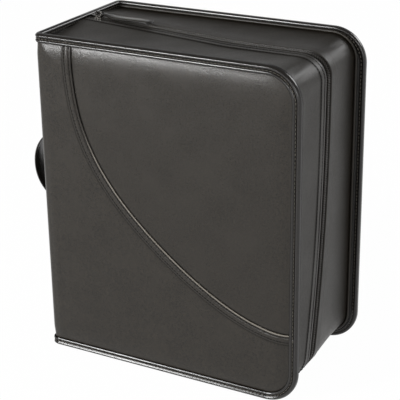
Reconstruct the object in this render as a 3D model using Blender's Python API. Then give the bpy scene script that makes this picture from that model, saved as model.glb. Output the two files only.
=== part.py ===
"""A zipped disc wallet: two padded covers and a spine, a zipped gusset round three sides, and the
sleeves inside. X runs from the spine to the opening edge, the front cover faces -Y, and Z is up.
The wallet stands on its rims, and the origin is on the floor under the middle of its box."""

import math

import bmesh
import bpy
import numpy as np
from mathutils import Matrix, Vector
from mathutils.geometry import interpolate_bezier

# Covers and spine
COVER_W = 0.290
COVER_H = 0.3444
CASE_D = 0.158
CORNER_R = 0.035
FOLD_R = 0.008
CLEAR = 0.0003

# Layers of a cover, from outside to inside
BINDING_T = 0.0010
SKIN_T = 0.0010
BOARD_T = 0.0018
LINING_T = 0.0006
BINDING_W = 0.009
BINDING_INNER_W = 0.006
BINDING_ROUND = 0.0022
CROWN_H = 0.0022
CROWN_RUN = 0.030
FOAM_IN = 0.024
PANEL_STEP = 0.0006
SEAM_GAP = 0.0004
BOARD_FOLD_GAP = 0.001

# Seam across the front, in the cover's X and Z
SEAM_TOP_X = -0.1008
SEAM_BEND_X = -0.0286
SEAM_BEND_Z = 0.1643
SEAM_BEND_TURN = -0.759
SEAM_END_Z = 0.0786
SEAM_PULL_TOP = 0.063
SEAM_PULL_BEFORE = 0.0955
SEAM_PULL_AFTER = 0.045
SEAM_PULL_END_X = 0.060
SEAM_PULL_END_Z = 0.012
SEAM_MARGIN = 0.010
SEAM_OVER = 0.004

# Gusset
GUSSET_T = 0.0016
GUSSET_R = 0.024
INSET_TOP = 0.0064
INSET_SIDE = 0.0105
INSET_BOTTOM = 0.0100
GUSSET_SAG = 0.0010
GUSSET_BAND = 0.0110
WELT_R = 0.0014
SPINE_GAP = 0.0009

# Zip line: across is its place in Y, rise its height above the gusset's rim line
ZIP_OPENING = 0.012
ZIP_ACROSS_START = 0.0191
ZIP_ACROSS_SLOPE = -0.093
ZIP_ACROSS_LOW = -0.0312
ZIP_ACROSS_END = -0.012
ZIP_DRIFT_POWER = 2.3
ZIP_RISE_START = 0.0030
ZIP_RISE_SLOPE = -0.0285
ZIP_RISE_SIDE = 0.0020
ZIP_RISE_END = 0.0010
ZIP_STRAIGHT = 0.160
ZIP_EASE = 0.030

# Zip
TAPE_T = 0.0007
TAPE_GAP = 0.0040
TAPE_LAP = 0.0035
TEETH_W = 0.0056
TEETH_H = 0.0020
TOOTH_PITCH = 0.006
TOOTH_REACH = 0.0008
STOP_L = 0.0040
STOP_T = 0.0010

# Slider and pull
SLIDER_L = 0.0120
SLIDER_PLATE_T = 0.0012
SLIDER_WALL = 0.0010
SLIDER_RUN = 0.0004
SLIDER_HEAD_FLARE = 0.0010
SLIDER_HEAD_GAP = 0.0006
POST_W = 0.0026
POST_L = 0.0028
BRIDGE_W = 0.0024
BRIDGE_L = 0.0070
BRIDGE_T = 0.0010
WIRE_R = 0.0007
WIRE_RUN = 0.0004
WIRE_W = 0.0090
WIRE_L = 0.0100
WIRE_CORNER = 0.0010
PULL_L = 0.062
PULL_W = 0.0125
PULL_T = 0.0024
PULL_DIP = 0.0009
PULL_NOSE = 0.0019
PULL_NECK_L = 0.0059
PULL_SHOULDER_L = 0.0133
PULL_SAG_L = 0.0383
PULL_TIP_L = 0.0060
PULL_TIP_LIFT = 0.0004
WELD = 0.0002

# Handle on the spine
HANDLE_REACH = 0.0580
HANDLE_Z = 0.178
HANDLE_HALF = 0.060
HANDLE_TAIL = 0.022
HANDLE_LEAVE = 0.014
HANDLE_BEND = 0.016
HANDLE_W = 0.030
HANDLE_T = 0.0038
PATCH_W = 0.044
PATCH_H = 0.030
PATCH_T = 0.0012
PATCH_GAP = 0.0010

# Sleeves and their binding
PAGES_END_GAP = 0.0222
PAGES_SIDE_GAP = 0.0102
PAGES_D = 0.112
PAGE_RIDGES = 12
PAGE_RIDGE_H = 0.0012
CHANNEL_T = 0.0014
CHANNEL_FLANGE = 0.020
POST_COUNT = 4
SCREW_R = 0.0025
SCREW_HEAD_R = 0.0050
SCREW_HEAD_T = 0.0012

ARC_STEPS = 6

# Worked out from the sizes above
SKIN_OUT = -(BINDING_T + CLEAR)
BOARD_OUT = SKIN_OUT - SKIN_T - CLEAR
LINING_OUT = BOARD_OUT - BOARD_T - CLEAR
INNER_LEG_OUT = LINING_OUT - LINING_T - CLEAR
COVER_T = BINDING_T - INNER_LEG_OUT
LINING_FACE = LINING_OUT - LINING_T
EDGE_IN = BINDING_T + 2 * CLEAR
FRONT_RUN = COVER_W - FOLD_R
FOLD_RUN = FOLD_R * math.pi / 2
SPINE_RUN = CASE_D - 2 * FOLD_R
WRAP_LEN = 2 * (FRONT_RUN + FOLD_RUN) + SPINE_RUN
SHIFT = Vector(((HANDLE_REACH + SKIN_OUT) / 2, 0.0, 0.0))

RIM_START = -COVER_W / 2 + COVER_T + SPINE_GAP
RIM_TOP = COVER_H - INSET_TOP
RIM_SIDE = COVER_W / 2 - INSET_SIDE
RUN_TOP = RIM_SIDE - GUSSET_R - RIM_START
RUN_ARC = GUSSET_R * math.pi / 2
RUN_SIDE = RIM_TOP - INSET_BOTTOM - 2 * GUSSET_R
RUN_TOTAL = 2 * RUN_TOP + 2 * RUN_ARC + RUN_SIDE

TAPE_TOP = -(GUSSET_T + CLEAR)
TAPE_BOTTOM = TAPE_TOP - TAPE_T
TEETH_BOTTOM = TAPE_TOP + CLEAR
TEETH_TOP = TEETH_BOTTOM + TEETH_H
PLATE_UNDER = TEETH_TOP + SLIDER_RUN
PLATE_TOP = PLATE_UNDER + SLIDER_PLATE_T
LOWER_TOP = TAPE_BOTTOM - SLIDER_RUN
WIRE_AXIS = PLATE_TOP + WIRE_RUN + WIRE_R
SLIDER_START = RIM_START + SLIDER_HEAD_GAP + SLIDER_L / 2
TEETH_START = SLIDER_START - SLIDER_L / 2 + POST_L + 2 * CLEAR - RIM_START
TOOTH_FLANK = 4 * TOOTH_REACH / TOOTH_PITCH

CHANNEL_X = -COVER_W / 2 - LINING_FACE + CLEAR
PAGES_LEFT = CHANNEL_X + CHANNEL_T + CLEAR
PAGES_RIGHT = RIM_SIDE - PAGES_SIDE_GAP
PAGES_H = COVER_H - 2 * PAGES_END_GAP

CASE = bpy.data.collections.new("cd_storage_case")
CUTTERS = bpy.data.collections.new("cutters")


def clear_scene():
    for item in list(bpy.data.objects):
        bpy.data.objects.remove(item, do_unlink=True)
    bpy.context.scene.collection.children.link(CASE)
    bpy.context.scene.collection.children.link(CUTTERS)


def finish_of(name, colour, roughness, metallic=0.0):
    """A Principled material of one colour for one sub-part."""
    made = bpy.data.materials.new(name)
    made.use_nodes = True
    shader = made.node_tree.nodes["Principled BSDF"]
    shader.inputs["Base Color"].default_value = (*colour, 1.0)
    shader.inputs["Roughness"].default_value = roughness
    shader.inputs["Metallic"].default_value = metallic
    return made


LEATHERETTE = ((0.060, 0.054, 0.047), 0.48)
BINDING = ((0.055, 0.050, 0.044), 0.40)
WOVEN_TAPE = ((0.030, 0.028, 0.026), 0.85)
ZIP_NYLON = ((0.022, 0.021, 0.020), 0.45)
CAST_METAL = ((0.55, 0.54, 0.52), 0.28, 1.0)
FOAM = ((0.45, 0.44, 0.42), 0.95)
GREYBOARD = ((0.33, 0.30, 0.26), 0.90)
LINING_CLOTH = ((0.035, 0.034, 0.033), 0.90)
SLEEVE_FILM = ((0.10, 0.10, 0.11), 0.35)
MOULDED = ((0.03, 0.03, 0.03), 0.50)


def add_object(name, mesh, look, origin=SHIFT, folder=CASE):
    """Put a bmesh into an object of its own, with a material of its own."""
    data = bpy.data.meshes.new(name)
    mesh.to_mesh(data)
    mesh.free()
    made = bpy.data.objects.new(name, data)
    made.location = origin
    data.materials.append(finish_of(name, *look))
    folder.objects.link(made)
    return made


def loft(name, sections, look, ring=False, origin=SHIFT, folder=CASE):
    """Skin over closed sections with equally many points, capped at both ends unless it is a ring."""
    mesh = bmesh.new()
    rows = [[mesh.verts.new(point) for point in section] for section in sections]
    pairs = list(zip(rows, rows[1:]))
    if ring:
        pairs.append((rows[-1], rows[0]))
    for near, far in pairs:
        for k in range(len(near)):
            mesh.faces.new((near[k - 1], near[k], far[k], far[k - 1]))
    if not ring:
        mesh.faces.new(rows[0])
        mesh.faces.new(list(reversed(rows[-1])))
    bmesh.ops.recalc_face_normals(mesh, faces=mesh.faces)
    return add_object(name, mesh, look, origin, folder)


def prism(name, outline, near, far, look, place=Matrix(), origin=SHIFT, folder=CASE):
    """A flat outline in XZ, carried from y = near to y = far, then moved by a matrix."""
    sections = [[place @ Vector((x, y, z)) for x, z in outline] for y in (near, far)]
    return loft(name, sections, look, origin=origin, folder=folder)


def cut(target, cutter, operation="DIFFERENCE"):
    """Cut a piece by a cutter, or join the cutter to it."""
    cutter.hide_render = True
    cutter.display_type = "WIRE"
    step = target.modifiers.new(operation.lower(), "BOOLEAN")
    step.operation = operation
    step.solver = "EXACT"
    step.object = cutter
    return target


def arc(centre_x, centre_z, radius, start, end, steps=ARC_STEPS):
    """Points of an arc in degrees, both ends included."""
    turns = np.radians(np.linspace(start, end, steps + 1))
    return [(centre_x + radius * math.cos(t), centre_z + radius * math.sin(t)) for t in turns]


def circle(centre_x, centre_z, radius):
    """A round outline, each point once."""
    return arc(centre_x, centre_z, radius, 0, 360, 2 * ARC_STEPS)[:-1]


def smooth(t):
    """From 0 to 1 with level ends."""
    t = min(max(t, 0.0), 1.0)
    return t * t * (3 - 2 * t)


# The wrap: u is the way along it from the front cover's free edge, out the height above its face

def fold(u, out):
    """Plan position of a point of the wrap."""
    far_side = u > WRAP_LEN / 2
    v = WRAP_LEN - u if far_side else u
    if v < FRONT_RUN:
        x = COVER_W / 2 - v
        y = -CASE_D / 2 - out
    elif v < FRONT_RUN + FOLD_RUN:
        turn = (v - FRONT_RUN) / FOLD_R
        x = -COVER_W / 2 + FOLD_R - (FOLD_R + out) * math.sin(turn)
        y = -CASE_D / 2 + FOLD_R - (FOLD_R + out) * math.cos(turn)
    else:
        x = -COVER_W / 2 - out
        y = -CASE_D / 2 + FOLD_R + (v - FRONT_RUN - FOLD_RUN)
    return x, -y if far_side else y


def edge_distance(u, z):
    """How far a point of a cover lies inside the rounded rim, and short of the fold."""
    v = min(u, WRAP_LEN - u)
    up = min(z, COVER_H - z)
    if v < CORNER_R and up < CORNER_R:
        inside = CORNER_R - math.hypot(CORNER_R - v, CORNER_R - up)
    else:
        inside = min(v, up)
    return min(inside - BINDING_W, FRONT_RUN - v)


def crown(u, z):
    """The padded swell of a cover: none at the binding and at the fold, full in the middle."""
    return CROWN_H * smooth(edge_distance(u, z) / CROWN_RUN)


def wrap_columns():
    """Stations along half of the wrap: the corner's arc, the cover's middle, the fold and the spine."""
    radius = CORNER_R - EDGE_IN
    turns = np.radians(np.linspace(0, 90, ARC_STEPS + 1))
    corner = [EDGE_IN + radius * (1 - math.cos(t)) for t in turns]
    middle = [BINDING_W + CROWN_RUN, 0.100, 0.180, FRONT_RUN - CROWN_RUN, FRONT_RUN - CROWN_RUN / 2]
    bend = [FRONT_RUN + FOLD_RUN * k / 4 for k in range(5)]
    half = corner + middle + bend
    return half + [WRAP_LEN - u for u in reversed(half)]


def column_span(u):
    """Lowest and highest point of the wrap's layers at a station."""
    v = min(u, WRAP_LEN - u)
    radius = CORNER_R - EDGE_IN
    if v >= CORNER_R:
        return EDGE_IN, COVER_H - EDGE_IN
    drop = radius - math.sqrt(max(radius ** 2 - (CORNER_R - v) ** 2, 0.0))
    return EDGE_IN + drop, COVER_H - EDGE_IN - drop


ROW_STEPS = [0.0, BINDING_W - EDGE_IN + 0.001, 0.018, 0.027, BINDING_W + CROWN_RUN]


def column_rows(u):
    """Heights of the rows at a station, spread evenly where the corner shortens it."""
    low, high = column_span(u)
    full = COVER_H - 2 * EDGE_IN
    shares = [step / full for step in ROW_STEPS]
    shares += [1 - share for share in reversed(shares)]
    return [low + (high - low) * share for share in shares]


def wrap_layer(name, columns, rows, outer, inner, look):
    """A layer of the wrap between two heights above its face, over some columns and rows."""
    sections = []
    for u in columns:
        heights = [column_rows(u)[k] for k in rows]
        top = [(*fold(u, outer(u, z)), z) for z in heights]
        below = [(*fold(u, inner(u, z)), z) for z in reversed(heights)]
        sections.append(top + below)
    return loft(name, sections, look)


def seam_curve(shift=0.0):
    """The front's curved seam in cover XZ, from the top edge to the free edge, moved square to itself."""
    top = Vector((SEAM_TOP_X, COVER_H + SEAM_OVER))
    bend = Vector((SEAM_BEND_X, SEAM_BEND_Z))
    end = Vector((COVER_W / 2 + SEAM_OVER / 2, SEAM_END_Z))
    way = Vector((math.cos(SEAM_BEND_TURN), math.sin(SEAM_BEND_TURN)))
    leave = Vector((0.0, SEAM_PULL_TOP))
    land = Vector((SEAM_PULL_END_X, SEAM_PULL_END_Z))
    first = interpolate_bezier(top, top - leave, bend - way * SEAM_PULL_BEFORE, bend, 2 * ARC_STEPS)
    second = interpolate_bezier(bend, bend + way * SEAM_PULL_AFTER, end - land, end, 2 * ARC_STEPS - 2)
    points = [Vector(p[:2]) for p in first + second[1:]]
    moved = []
    for k, point in enumerate(points):
        along = (points[min(k + 1, len(points) - 1)] - points[max(k - 1, 0)]).normalized()
        moved.append(point + Vector((-along.y, along.x)) * shift)
    return [(p.x, p.y) for p in moved]


def upper_right(name, shift):
    """A block over the part of the front cover that lies above and right of the seam."""
    line = seam_curve(shift)
    right = COVER_W / 2 + SEAM_MARGIN
    above = COVER_H + SEAM_MARGIN
    outline = line + [(right, line[-1][1]), (right, above), (line[0][0], above)]
    near = -CASE_D / 2 - SEAM_MARGIN
    return prism(name, outline, near, -CASE_D / 2 - BOARD_OUT, LEATHERETTE, folder=CUTTERS)


def make_skins():
    columns = wrap_columns()
    rows = range(2 * len(ROW_STEPS))
    outside = lambda u, z: SKIN_OUT + crown(u, z)
    inside = lambda u, z: SKIN_OUT + crown(u, z) - SKIN_T
    skin = wrap_layer("outer_skin", columns, rows, outside, inside, LEATHERETTE)
    cut(skin, upper_right("seam_cutter", 0.0))

    front = [u for u in columns if u <= FRONT_RUN - CROWN_RUN]
    lower = lambda u, z: outside(u, z) - PANEL_STEP
    lower_in = lambda u, z: inside(u, z) - PANEL_STEP * smooth(crown(u, z) / CROWN_H)
    panel = wrap_layer("front_panel_skin", front, rows, lower, lower_in, LEATHERETTE)
    cut(panel, upper_right("panel_cutter", SEAM_GAP), "INTERSECT")


def make_foam():
    """The padding under each crown, on the rows and columns where the crown is high enough for it."""
    first = [step > FOAM_IN for step in ROW_STEPS].index(True)
    rows = range(first, 2 * len(ROW_STEPS) - first)
    columns = [u for u in wrap_columns() if FOAM_IN < u < FRONT_RUN - CROWN_RUN / 2 + CLEAR]
    inner = lambda u, z: BOARD_OUT + CLEAR
    front = lambda u, z: SKIN_OUT + crown(u, z) - SKIN_T - PANEL_STEP - CLEAR
    back = lambda u, z: SKIN_OUT + crown(u, z) - SKIN_T - CLEAR
    wrap_layer("front_foam", columns, rows, front, inner, FOAM)
    wrap_layer("back_foam", [WRAP_LEN - u for u in columns], rows, back, inner, FOAM)


def cover_outline():
    """A board in cover XZ: square at the spine, rounded at the free corners."""
    left = -COVER_W / 2 + FOLD_R + BOARD_FOLD_GAP
    right = COVER_W / 2 - EDGE_IN
    radius = CORNER_R - EDGE_IN
    low = arc(right - radius, EDGE_IN + radius, radius, -90, 0)
    high = arc(right - radius, COVER_H - EDGE_IN - radius, radius, 0, 90)
    return [(left, EDGE_IN)] + low + high + [(left, COVER_H - EDGE_IN)]


def make_boards():
    near = CASE_D / 2 + BOARD_OUT
    prism("front_board", cover_outline(), -near, -near + BOARD_T, GREYBOARD)
    prism("back_board", cover_outline(), near - BOARD_T, near, GREYBOARD)
    x = -COVER_W / 2 - BOARD_OUT
    flat = [(x, EDGE_IN), (x + BOARD_T, EDGE_IN), (x + BOARD_T, COVER_H - EDGE_IN), (x, COVER_H - EDGE_IN)]
    half = CASE_D / 2 - FOLD_R - BOARD_FOLD_GAP
    prism("spine_board", flat, -half, half, GREYBOARD)


def make_lining():
    rows = (0, 2 * len(ROW_STEPS) - 1)
    outer = lambda u, z: LINING_OUT
    inner = lambda u, z: LINING_FACE
    wrap_layer("inner_lining", wrap_columns(), rows, outer, inner, LINING_CLOTH)


def binding_path():
    """Stations round the wrap's rim: u, z and the way out of the wrap there."""
    stations = []
    bends = [FRONT_RUN + FOLD_RUN * k / 4 for k in range(5)]
    along = bends + [WRAP_LEN - u for u in reversed(bends)]
    turns = np.radians(np.linspace(0, 90, ARC_STEPS + 1))
    for t in turns:
        out = (-math.cos(t), -math.sin(t))
        stations.append((CORNER_R + CORNER_R * out[0], CORNER_R + CORNER_R * out[1], out))
    stations += [(u, 0.0, (0.0, -1.0)) for u in along]
    far = WRAP_LEN - CORNER_R
    for t in reversed(turns):
        out = (math.cos(t), -math.sin(t))
        stations.append((far + CORNER_R * out[0], CORNER_R + CORNER_R * out[1], out))
    up = [(u, COVER_H - z, (out[0], -out[1])) for u, z, out in reversed(stations)]
    return stations + up


def make_binding():
    """One folded strip round the whole rim, its section a narrow U over the cover's edge."""
    r = BINDING_ROUND
    far = r - COVER_T
    section = [(0.0, BINDING_W)] + arc(-r, r, r, 0, -90, 3) + arc(far, r, r, -90, -180, 3)
    section += [(-COVER_T, BINDING_INNER_W), (BINDING_T - COVER_T, BINDING_INNER_W)]
    section += arc(far, r, r - BINDING_T, -180, -90, 2) + arc(-r, r, r - BINDING_T, -90, 0, 2)
    section.append((-BINDING_T, BINDING_W))
    sections = []
    for u, z, out in binding_path():
        ring = []
        for height, inward in section:
            x, y = fold(u - out[0] * inward, height)
            ring.append((x, y, z - out[1] * inward))
        sections.append(ring)
    return loft("edge_binding", sections, BINDING, ring=True)


# The gusset's rim line: s is the way along it from the top of the spine round to the bottom of the spine

def rim(s, rise):
    """XZ position at a height above the rim line."""
    if s <= RUN_TOP:
        return RIM_START + s, RIM_TOP + rise
    s -= RUN_TOP
    reach = GUSSET_R + rise
    if s <= RUN_ARC:
        turn = s / GUSSET_R
        return RIM_SIDE - GUSSET_R + reach * math.sin(turn), RIM_TOP - GUSSET_R + reach * math.cos(turn)
    s -= RUN_ARC
    if s <= RUN_SIDE:
        return RIM_SIDE + rise, RIM_TOP - GUSSET_R - s
    s -= RUN_SIDE
    if s <= RUN_ARC:
        turn = s / GUSSET_R
        return RIM_SIDE - GUSSET_R + reach * math.cos(turn), INSET_BOTTOM + GUSSET_R - reach * math.sin(turn)
    return RIM_SIDE - GUSSET_R - (s - RUN_ARC), INSET_BOTTOM - rise


def eased(s, slope):
    """Change along the straight stretch of the zip, which dies away over its ease."""
    over = min(max(s - ZIP_STRAIGHT, 0.0), ZIP_EASE)
    return slope * (min(s, ZIP_STRAIGHT) + over - over ** 2 / (2 * ZIP_EASE))


def zip_across(s):
    """The zip's place in Y: straight along the top, drifting forwards down the side, and back below."""
    across = ZIP_ACROSS_START + eased(s, ZIP_ACROSS_SLOPE)
    side_start = RUN_TOP + RUN_ARC
    down = min(max((s - side_start) / (RUN_SIDE + RUN_ARC), 0.0), 1.0)
    across += (ZIP_ACROSS_LOW - across) * down ** ZIP_DRIFT_POWER
    under = smooth((s - side_start - RUN_SIDE - RUN_ARC) / RUN_TOP)
    return across + (ZIP_ACROSS_END - across) * under


def zip_rise(s):
    """The gusset's height at the zip, above the rim line."""
    rise = ZIP_RISE_START + eased(s, ZIP_RISE_SLOPE)
    rise += (ZIP_RISE_SIDE - rise) * smooth((s - RUN_TOP) / RUN_ARC)
    under = smooth((s - RUN_TOTAL + RUN_TOP) / RUN_TOP)
    return rise + (ZIP_RISE_END - rise) * under


def rim_stations():
    """Stations along the rim line: the straight top, its ease, the corners, the side and the bottom."""
    top = [0.0, ZIP_STRAIGHT, ZIP_STRAIGHT + ZIP_EASE / 2, ZIP_STRAIGHT + ZIP_EASE]
    first = [RUN_TOP + RUN_ARC * k / ARC_STEPS for k in range(ARC_STEPS + 1)]
    side = [RUN_TOP + RUN_ARC + RUN_SIDE * k / 6 for k in range(1, 6)]
    second = [RUN_TOP + RUN_ARC + RUN_SIDE + RUN_ARC * k / ARC_STEPS for k in range(ARC_STEPS + 1)]
    bottom = [RUN_TOTAL - RUN_TOP + RUN_TOP * k / 6 for k in range(1, 7)]
    return top + first + side + second + bottom


def gusset_rise(s, t):
    """Height of the gusset from its cover, t = 0, to the flat band beside the zip, t = 1."""
    return zip_rise(s) * smooth(t) - GUSSET_SAG * 4 * t * (1 - t)


def make_gusset(name, side):
    """One wall of the gusset, from the cover's lining to the folded edge beside the zip."""
    cover_y = side * (CASE_D / 2 + LINING_FACE - CLEAR)
    sections = []
    for s in rim_stations():
        edge_y = zip_across(s) + side * ZIP_OPENING / 2
        band_y = edge_y + side * GUSSET_BAND
        points = [(cover_y + (band_y - cover_y) * t, gusset_rise(s, t)) for t in (0.0, 0.25, 0.5, 0.75, 1.0)]
        points.append((edge_y, zip_rise(s)))
        outer = [place(s, y, rise) for y, rise in points]
        inner = [place(s, y, rise - GUSSET_T) for y, rise in reversed(points)]
        sections.append(outer + inner)
    return loft(name, sections, LEATHERETTE)


def place(s, y, rise):
    x, z = rim(s, rise)
    return (x, y, z)


def tube(name, points, radius, look, cyclic=False, origin=SHIFT, folder=CASE):
    """A round piece along a list of points."""
    curve = bpy.data.curves.new(name, "CURVE")
    curve.dimensions = "3D"
    curve.bevel_depth = radius
    curve.bevel_resolution = 2
    curve.use_fill_caps = not cyclic
    spline = curve.splines.new("POLY")
    spline.points.add(len(points) - 1)
    for dot, point in zip(spline.points, points):
        dot.co = (*point, 1.0)
    spline.use_cyclic_u = cyclic
    made = bpy.data.objects.new(name, curve)
    made.location = origin
    curve.materials.append(finish_of(name, *look))
    folder.objects.link(made)
    return made


def make_welt(name, side):
    """The piping in the corner between a cover's binding and its gusset."""
    y = side * (CASE_D / 2 - COVER_T - CLEAR - WELT_R)
    reach = abs(zip_across(0.0) + side * ZIP_OPENING / 2 - y)
    lift = WELT_R + CLEAR + ZIP_RISE_START * smooth(2 * WELT_R / reach)
    points = [place(s, y, lift) for s in rim_stations()]
    return tube(name, points, WELT_R, LEATHERETTE)


def zip_strip(name, stations, section, look):
    """A strip along the zip: section gives its corners as across and rise from the zip line."""
    sections = []
    for k, s in enumerate(stations):
        corners = section(k)
        sections.append([place(s, zip_across(s) + across, zip_rise(s) + rise) for across, rise in corners])
    return loft(name, sections, look)


def box_section(near, far, low, high):
    return [(near, low), (far, low), (far, high), (near, high)]


def make_tape(name, side):
    near = side * TAPE_GAP / 2
    far = side * (ZIP_OPENING / 2 + TAPE_LAP)
    return zip_strip(name, rim_stations(), lambda k: box_section(near, far, TAPE_BOTTOM, TAPE_TOP), WOVEN_TAPE)


def teeth_stations():
    """Two stations a pitch, at the tips of one row, where the other row has its gaps."""
    count = 2 * int((RUN_TOTAL - TEETH_START) / TOOTH_PITCH)
    return [TEETH_START + (RUN_TOTAL - TEETH_START) * k / count for k in range(count + 1)]


def make_teeth(name, side):
    """A row of pointed teeth, each seated between two of the other row's, with a clearance all along."""
    far = side * TEETH_W / 2
    apart = side * CLEAR / 2 * math.hypot(1.0, TOOTH_FLANK)

    def section(k):
        lean = TOOTH_REACH if k % 2 else -TOOTH_REACH
        return box_section(lean + apart, far, TEETH_BOTTOM, TEETH_TOP)

    return zip_strip(name, teeth_stations(), section, ZIP_NYLON)


def slider_frame():
    """The slider's own axes at rest: along the zip, across it and out of the case."""
    along = Vector((1.0, ZIP_ACROSS_SLOPE, ZIP_RISE_SLOPE)).normalized()
    out = along.cross(Vector((0.0, 1.0, 0.0))).normalized()
    across = out.cross(along)
    s = SLIDER_START - RIM_START
    centre = Vector(place(s, zip_across(s), zip_rise(s))) + SHIFT
    turn = Matrix((along, across, out)).transposed()
    return centre, turn


def slider_outline(half_tail, half_head):
    """The plate seen from outside: wide at the head, where the two rows come together, narrow at the tail."""
    head = -SLIDER_L / 2
    tail = SLIDER_L / 2
    return [(head, -half_head), (head + 0.35 * SLIDER_L, -half_head), (tail, -half_tail), (tail, half_tail),
            (head + 0.35 * SLIDER_L, half_head), (head, half_head)]


def make_slider():
    """One casting: lower plate, post between the tapes, upper plate with side walls, and the bridge."""
    centre, turn = slider_frame()
    up = turn.to_4x4() @ Matrix.Rotation(math.radians(90), 4, "X")
    half_tail = TEETH_W / 2 + SLIDER_RUN + SLIDER_WALL
    half_head = half_tail + SLIDER_HEAD_FLARE

    def block(name, outline, low, high, folder=CUTTERS):
        """An outline in along and across, carried from one height to another."""
        flipped = [(x, -y) for x, y in outline]
        return prism(name, flipped, low, high, CAST_METAL, up, centre, folder)

    plate = slider_outline(half_tail, half_head)
    slider = block("zip_slider", plate, PLATE_UNDER, PLATE_TOP, CASE)
    cut(slider, block("slider_lower", plate, LOWER_TOP - SLIDER_PLATE_T, LOWER_TOP), "UNION")
    head = -SLIDER_L / 2
    nose = head + WELD
    post = [(nose, -POST_W / 2), (nose + POST_L * 0.5, -POST_W / 2), (nose + POST_L, 0.0),
            (nose + POST_L * 0.5, POST_W / 2), (nose, POST_W / 2)]
    cut(slider, block("slider_post", post, LOWER_TOP - WELD, PLATE_UNDER + WELD), "UNION")
    for side in (-1, 1):
        edge = [(x, y - side * WELD) for x, y in slider_outline(half_tail, half_head) if y * side > 0]
        wall = [(x * (1 - WELD / SLIDER_L * 2), y) for x, y in edge]
        inner = [(x, y - side * (SLIDER_WALL - WELD)) for x, y in reversed(wall)]
        low = TAPE_TOP + SLIDER_RUN
        cut(slider, block("slider_wall", wall + inner, low, PLATE_UNDER + WELD), "UNION")

    room = 2 * (WIRE_RUN + WIRE_R)
    arch = [(-BRIDGE_L / 2, -WELD), (BRIDGE_L / 2, -WELD), (BRIDGE_L / 2 - BRIDGE_T, room + BRIDGE_T),
            (-BRIDGE_L / 2 + BRIDGE_T, room + BRIDGE_T)]
    eye = [(-room / 2, 0.0), (room / 2, 0.0), (room / 2, room), (-room / 2, room)]
    stand = turn.to_4x4() @ Matrix.Translation((0.0, 0.0, PLATE_TOP))
    bridge = prism("slider_bridge", arch, -BRIDGE_W / 2, BRIDGE_W / 2, CAST_METAL, stand, centre, CUTTERS)
    cut(slider, bridge, "UNION")
    tunnel = prism("bridge_tunnel", eye, -BRIDGE_W, BRIDGE_W, CAST_METAL, stand, centre, CUTTERS)
    cut(slider, tunnel)
    return slider


def make_pull():
    """The wire link in the bridge, and the folded leatherette strip that it carries."""
    centre, turn = slider_frame()
    pivot = centre + turn @ Vector((0.0, 0.0, WIRE_AXIS))
    half = WIRE_W / 2 - WIRE_R
    reach = WIRE_L - 2 * WIRE_R
    nip = WIRE_CORNER
    corners = [(0.0, -half + nip), (0.0, half - nip), (nip, half), (reach - nip, half), (reach, half - nip),
               (reach, -half + nip), (reach - nip, -half), (nip, -half)]
    loop = [turn @ Vector((x, y, 0.0)) for x, y in corners]
    tube("pull_wire", loop, WIRE_R, CAST_METAL, cyclic=True, origin=pivot)

    start = reach - PULL_NOSE
    neck = WIRE_W / 2 - 2 * WIRE_R - CLEAR
    full = PULL_W / 2
    stations = [(0.0, 0.0, PULL_T * 0.7, neck), (PULL_NECK_L, 0.0, PULL_T / 2, neck),
                (PULL_SHOULDER_L, -PULL_DIP, PULL_T / 2, full), (PULL_SAG_L, -PULL_DIP, PULL_T / 2, full),
                (PULL_L - PULL_TIP_L, -PULL_DIP / 3, PULL_T / 2, full),
                (PULL_L, PULL_TIP_LIFT, PULL_T / 3, full * 0.72)]
    sections = []
    for along, rise, half_t, half_w in stations:
        corners = [(-half_w, rise - half_t), (half_w, rise - half_t), (half_w, rise + half_t),
                   (-half_w, rise + half_t)]
        sections.append([turn @ Vector((start + along, y, z)) for y, z in corners])
    strap = loft("pull_strap", sections, LEATHERETTE, origin=pivot)
    tunnel_r = WIRE_R + WIRE_RUN
    turn_up = turn.to_4x4() @ Matrix.Translation((reach, 0.0, 0.0))
    eye = prism("pull_tunnel", circle(0.0, 0.0, tunnel_r), -PULL_W, PULL_W, CAST_METAL, turn_up, pivot, CUTTERS)
    return cut(strap, eye)


def handle_line():
    """The strap's centre line as distance out of the spine and height, top to bottom."""
    flat = HANDLE_T / 2 + CLEAR
    reach = HANDLE_REACH - HANDLE_T / 2
    rise = HANDLE_HALF
    leave = (flat, rise - HANDLE_LEAVE)
    curve = interpolate_bezier((flat, rise), leave, (reach, rise - HANDLE_BEND), (reach, 0.0), 2 * ARC_STEPS)
    upper = [(flat, rise + HANDLE_TAIL)] + [(p[0], p[1]) for p in curve]
    lower = [(x, -z) for x, z in reversed(upper[:-1])]
    return upper + lower


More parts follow.
